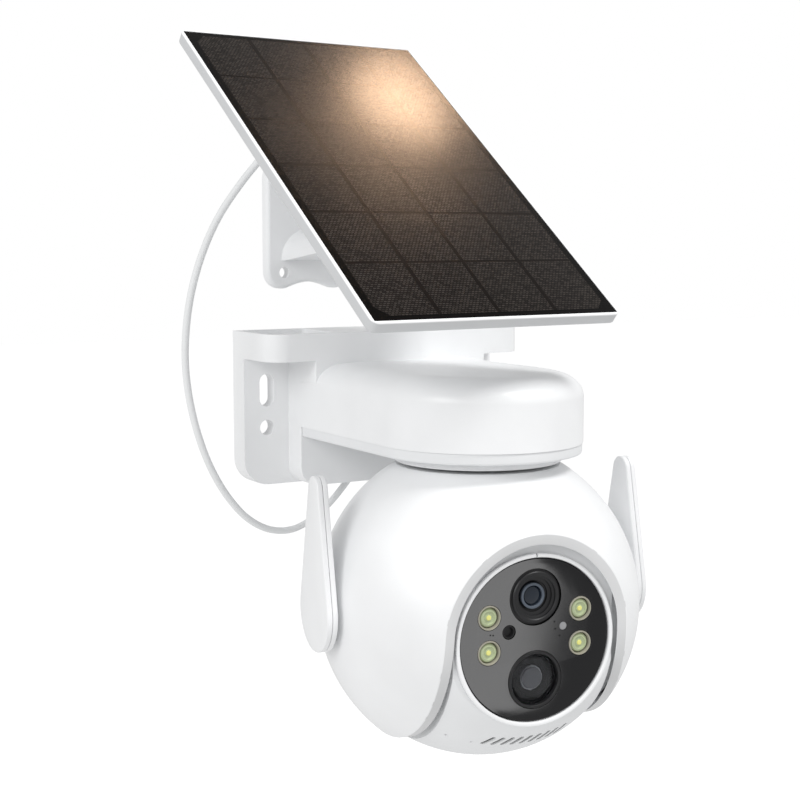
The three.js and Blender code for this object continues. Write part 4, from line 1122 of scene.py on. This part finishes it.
def make_bolt_and_knob():
    left = -EARS[1] - 0.3
    head = revolve([(5.0, left - 3.5), (5.5, left - 3.0), (5.5, left)], "x", segments=6)
    bolt = new_piece("pivot_bolt", head, SWIVEL)
    combine(bolt, [rod("x", 3, left - 0.5, 19, edge=0.5)], "UNION")
    dress(bolt, "base", STEEL, ["hinge_bolt"])
    near = EARS[1] + 0.3
    knob = new_piece("wing_knob", rod("x", 6.5, near, near + 8, edge=0.8), SWIVEL)
    wing = rounded_box(-12, 12, -2, 2, [1.9] * 4)
    combine(knob, [extrude(wing, "x", near + 2, near + 12, foot=(0.6, 0.6), head=(0.9, 0.9))], "UNION")
    combine(knob, [rod("x", BOLT_BORE, near - 1, near + 20)])
    dress(knob, "knob", BLACK, ["hinge_knob"])


make_mount()
make_bolt_and_knob()


# ---- CAD nodes that keep their shape
KEPT = {
    STEEL: ["pan_motor", "tilt_motor", "pir_sensor"],
    ACETAL: ["pan_bush", "pan_pinion", "pan_gear", "tilt_gear", "tilt_pinion"],
    GREY: ["tilt_axle_left", "tilt_axle_right", "reset_button"],
    RUBBER: ["cable_grommet", "face_gasket"],
    BOARD: ["lamp_board", "sensor_board", "main_board"],
    BLACK: ["speaker", "battery_tray", "card_tray"],
    CELL_WRAP: ["battery_1", "battery_2", "battery_3"],
}
for material, names in KEPT.items():
    for name in names:
        node = frame["nodes"][name]
        node.data.materials.clear()
        node.data.materials.append(material)


# ---- floor and light
def make_world(top=0.58, level=0.64, bottom=0.95):
    """A surround that is seen as plain white, and that lights the object most from below."""
    world = bpy.data.worlds.new("studio")
    world.use_nodes = True
    tree = world.node_tree
    tree.nodes.clear()
    way = add_node(tree, "TexCoord").outputs["Generated"]
    height = add_node(tree, "SeparateXYZ", {0: way}).outputs[2]
    rise = add_node(tree, "MapRange", {"Value": height, "From Min": -1.0})
    ramp = add_node(tree, "FloatCurve", {"Value": rise.outputs[0]})
    points = ramp.mapping.curves[0].points
    points[0].location, points[1].location = (0, bottom), (1, top)
    points.new(0.5, level)
    ramp.mapping.update()
    seen = add_node(tree, "LightPath").outputs["Is Camera Ray"]
    strength = add_node(tree, "Mix", {"Factor": seen, 2: ramp.outputs[0], 3: 1.0})
    glow = add_node(tree, "Background", {"Strength": strength.outputs[0]})
    out = tree.nodes.new("ShaderNodeOutputWorld")
    tree.links.new(glow.outputs[0], out.inputs[0])
    glow.inputs["Color"].default_value = (1, 1, 1, 1)
    bpy.context.scene.world = world


def make_floor():
    bm = bmesh.new()
    bmesh.ops.create_grid(bm, x_segments=1, y_segments=1, size=9000)
    bm.transform(Matrix.Translation((0, 0, -620)))
    floor = new_piece("floor", bm)
    floor.data.materials.append(finish_of("floor", (0.93, 0.93, 0.93), 0.85, Emission_Color=(1, 1, 1, 1),
                                          Emission_Strength=0.5))
    floor.visible_diffuse = False
    floor.visible_shadow = False
    floor.visible_glossy = False


def softbox(name, place, aim, size, power, tint=(1, 1, 1), only=()):
    """A round area lamp, which lights all pieces or only those named."""
    data = bpy.data.lights.new(name, "AREA")
    data.shape = "DISK"
    data.size = size
    data.energy = power
    data.color = tint
    lamp = bpy.data.objects.new(name, data)
    lamp.location = place
    lamp.rotation_euler = (Vector(aim) - Vector(place)).to_track_quat("-Z", "Y").to_euler()
    bpy.context.scene.collection.objects.link(lamp)
    if only:
        lit = bpy.data.collections.new(name + "_lit")
        for piece in only:
            lit.objects.link(bpy.data.objects[piece])
        lamp.light_linking.receiver_collection = lit


MIDDLE, WARM = (0, -0.08, 0), (1, 0.66, 0.42)
make_world()
make_floor()
softbox("key", (0.6, -1.1, 1.7), MIDDLE, 0.7, 25)
softbox("side", (-1.6, -0.7, 0.8), MIDDLE, 1.0, 13)
softbox("face_card", (-0.12, -1.67, -0.3), (0, -0.15, -0.08), 1.5, 35, only=["face_glass"])
softbox("panel_glow", (0.85, 0.55, 1.22), (0.01, -0.02, 0.15), 0.2, 8.5, WARM,
        only=["panel_glass"])
bpy.context.scene.view_settings.view_transform = "Standard"
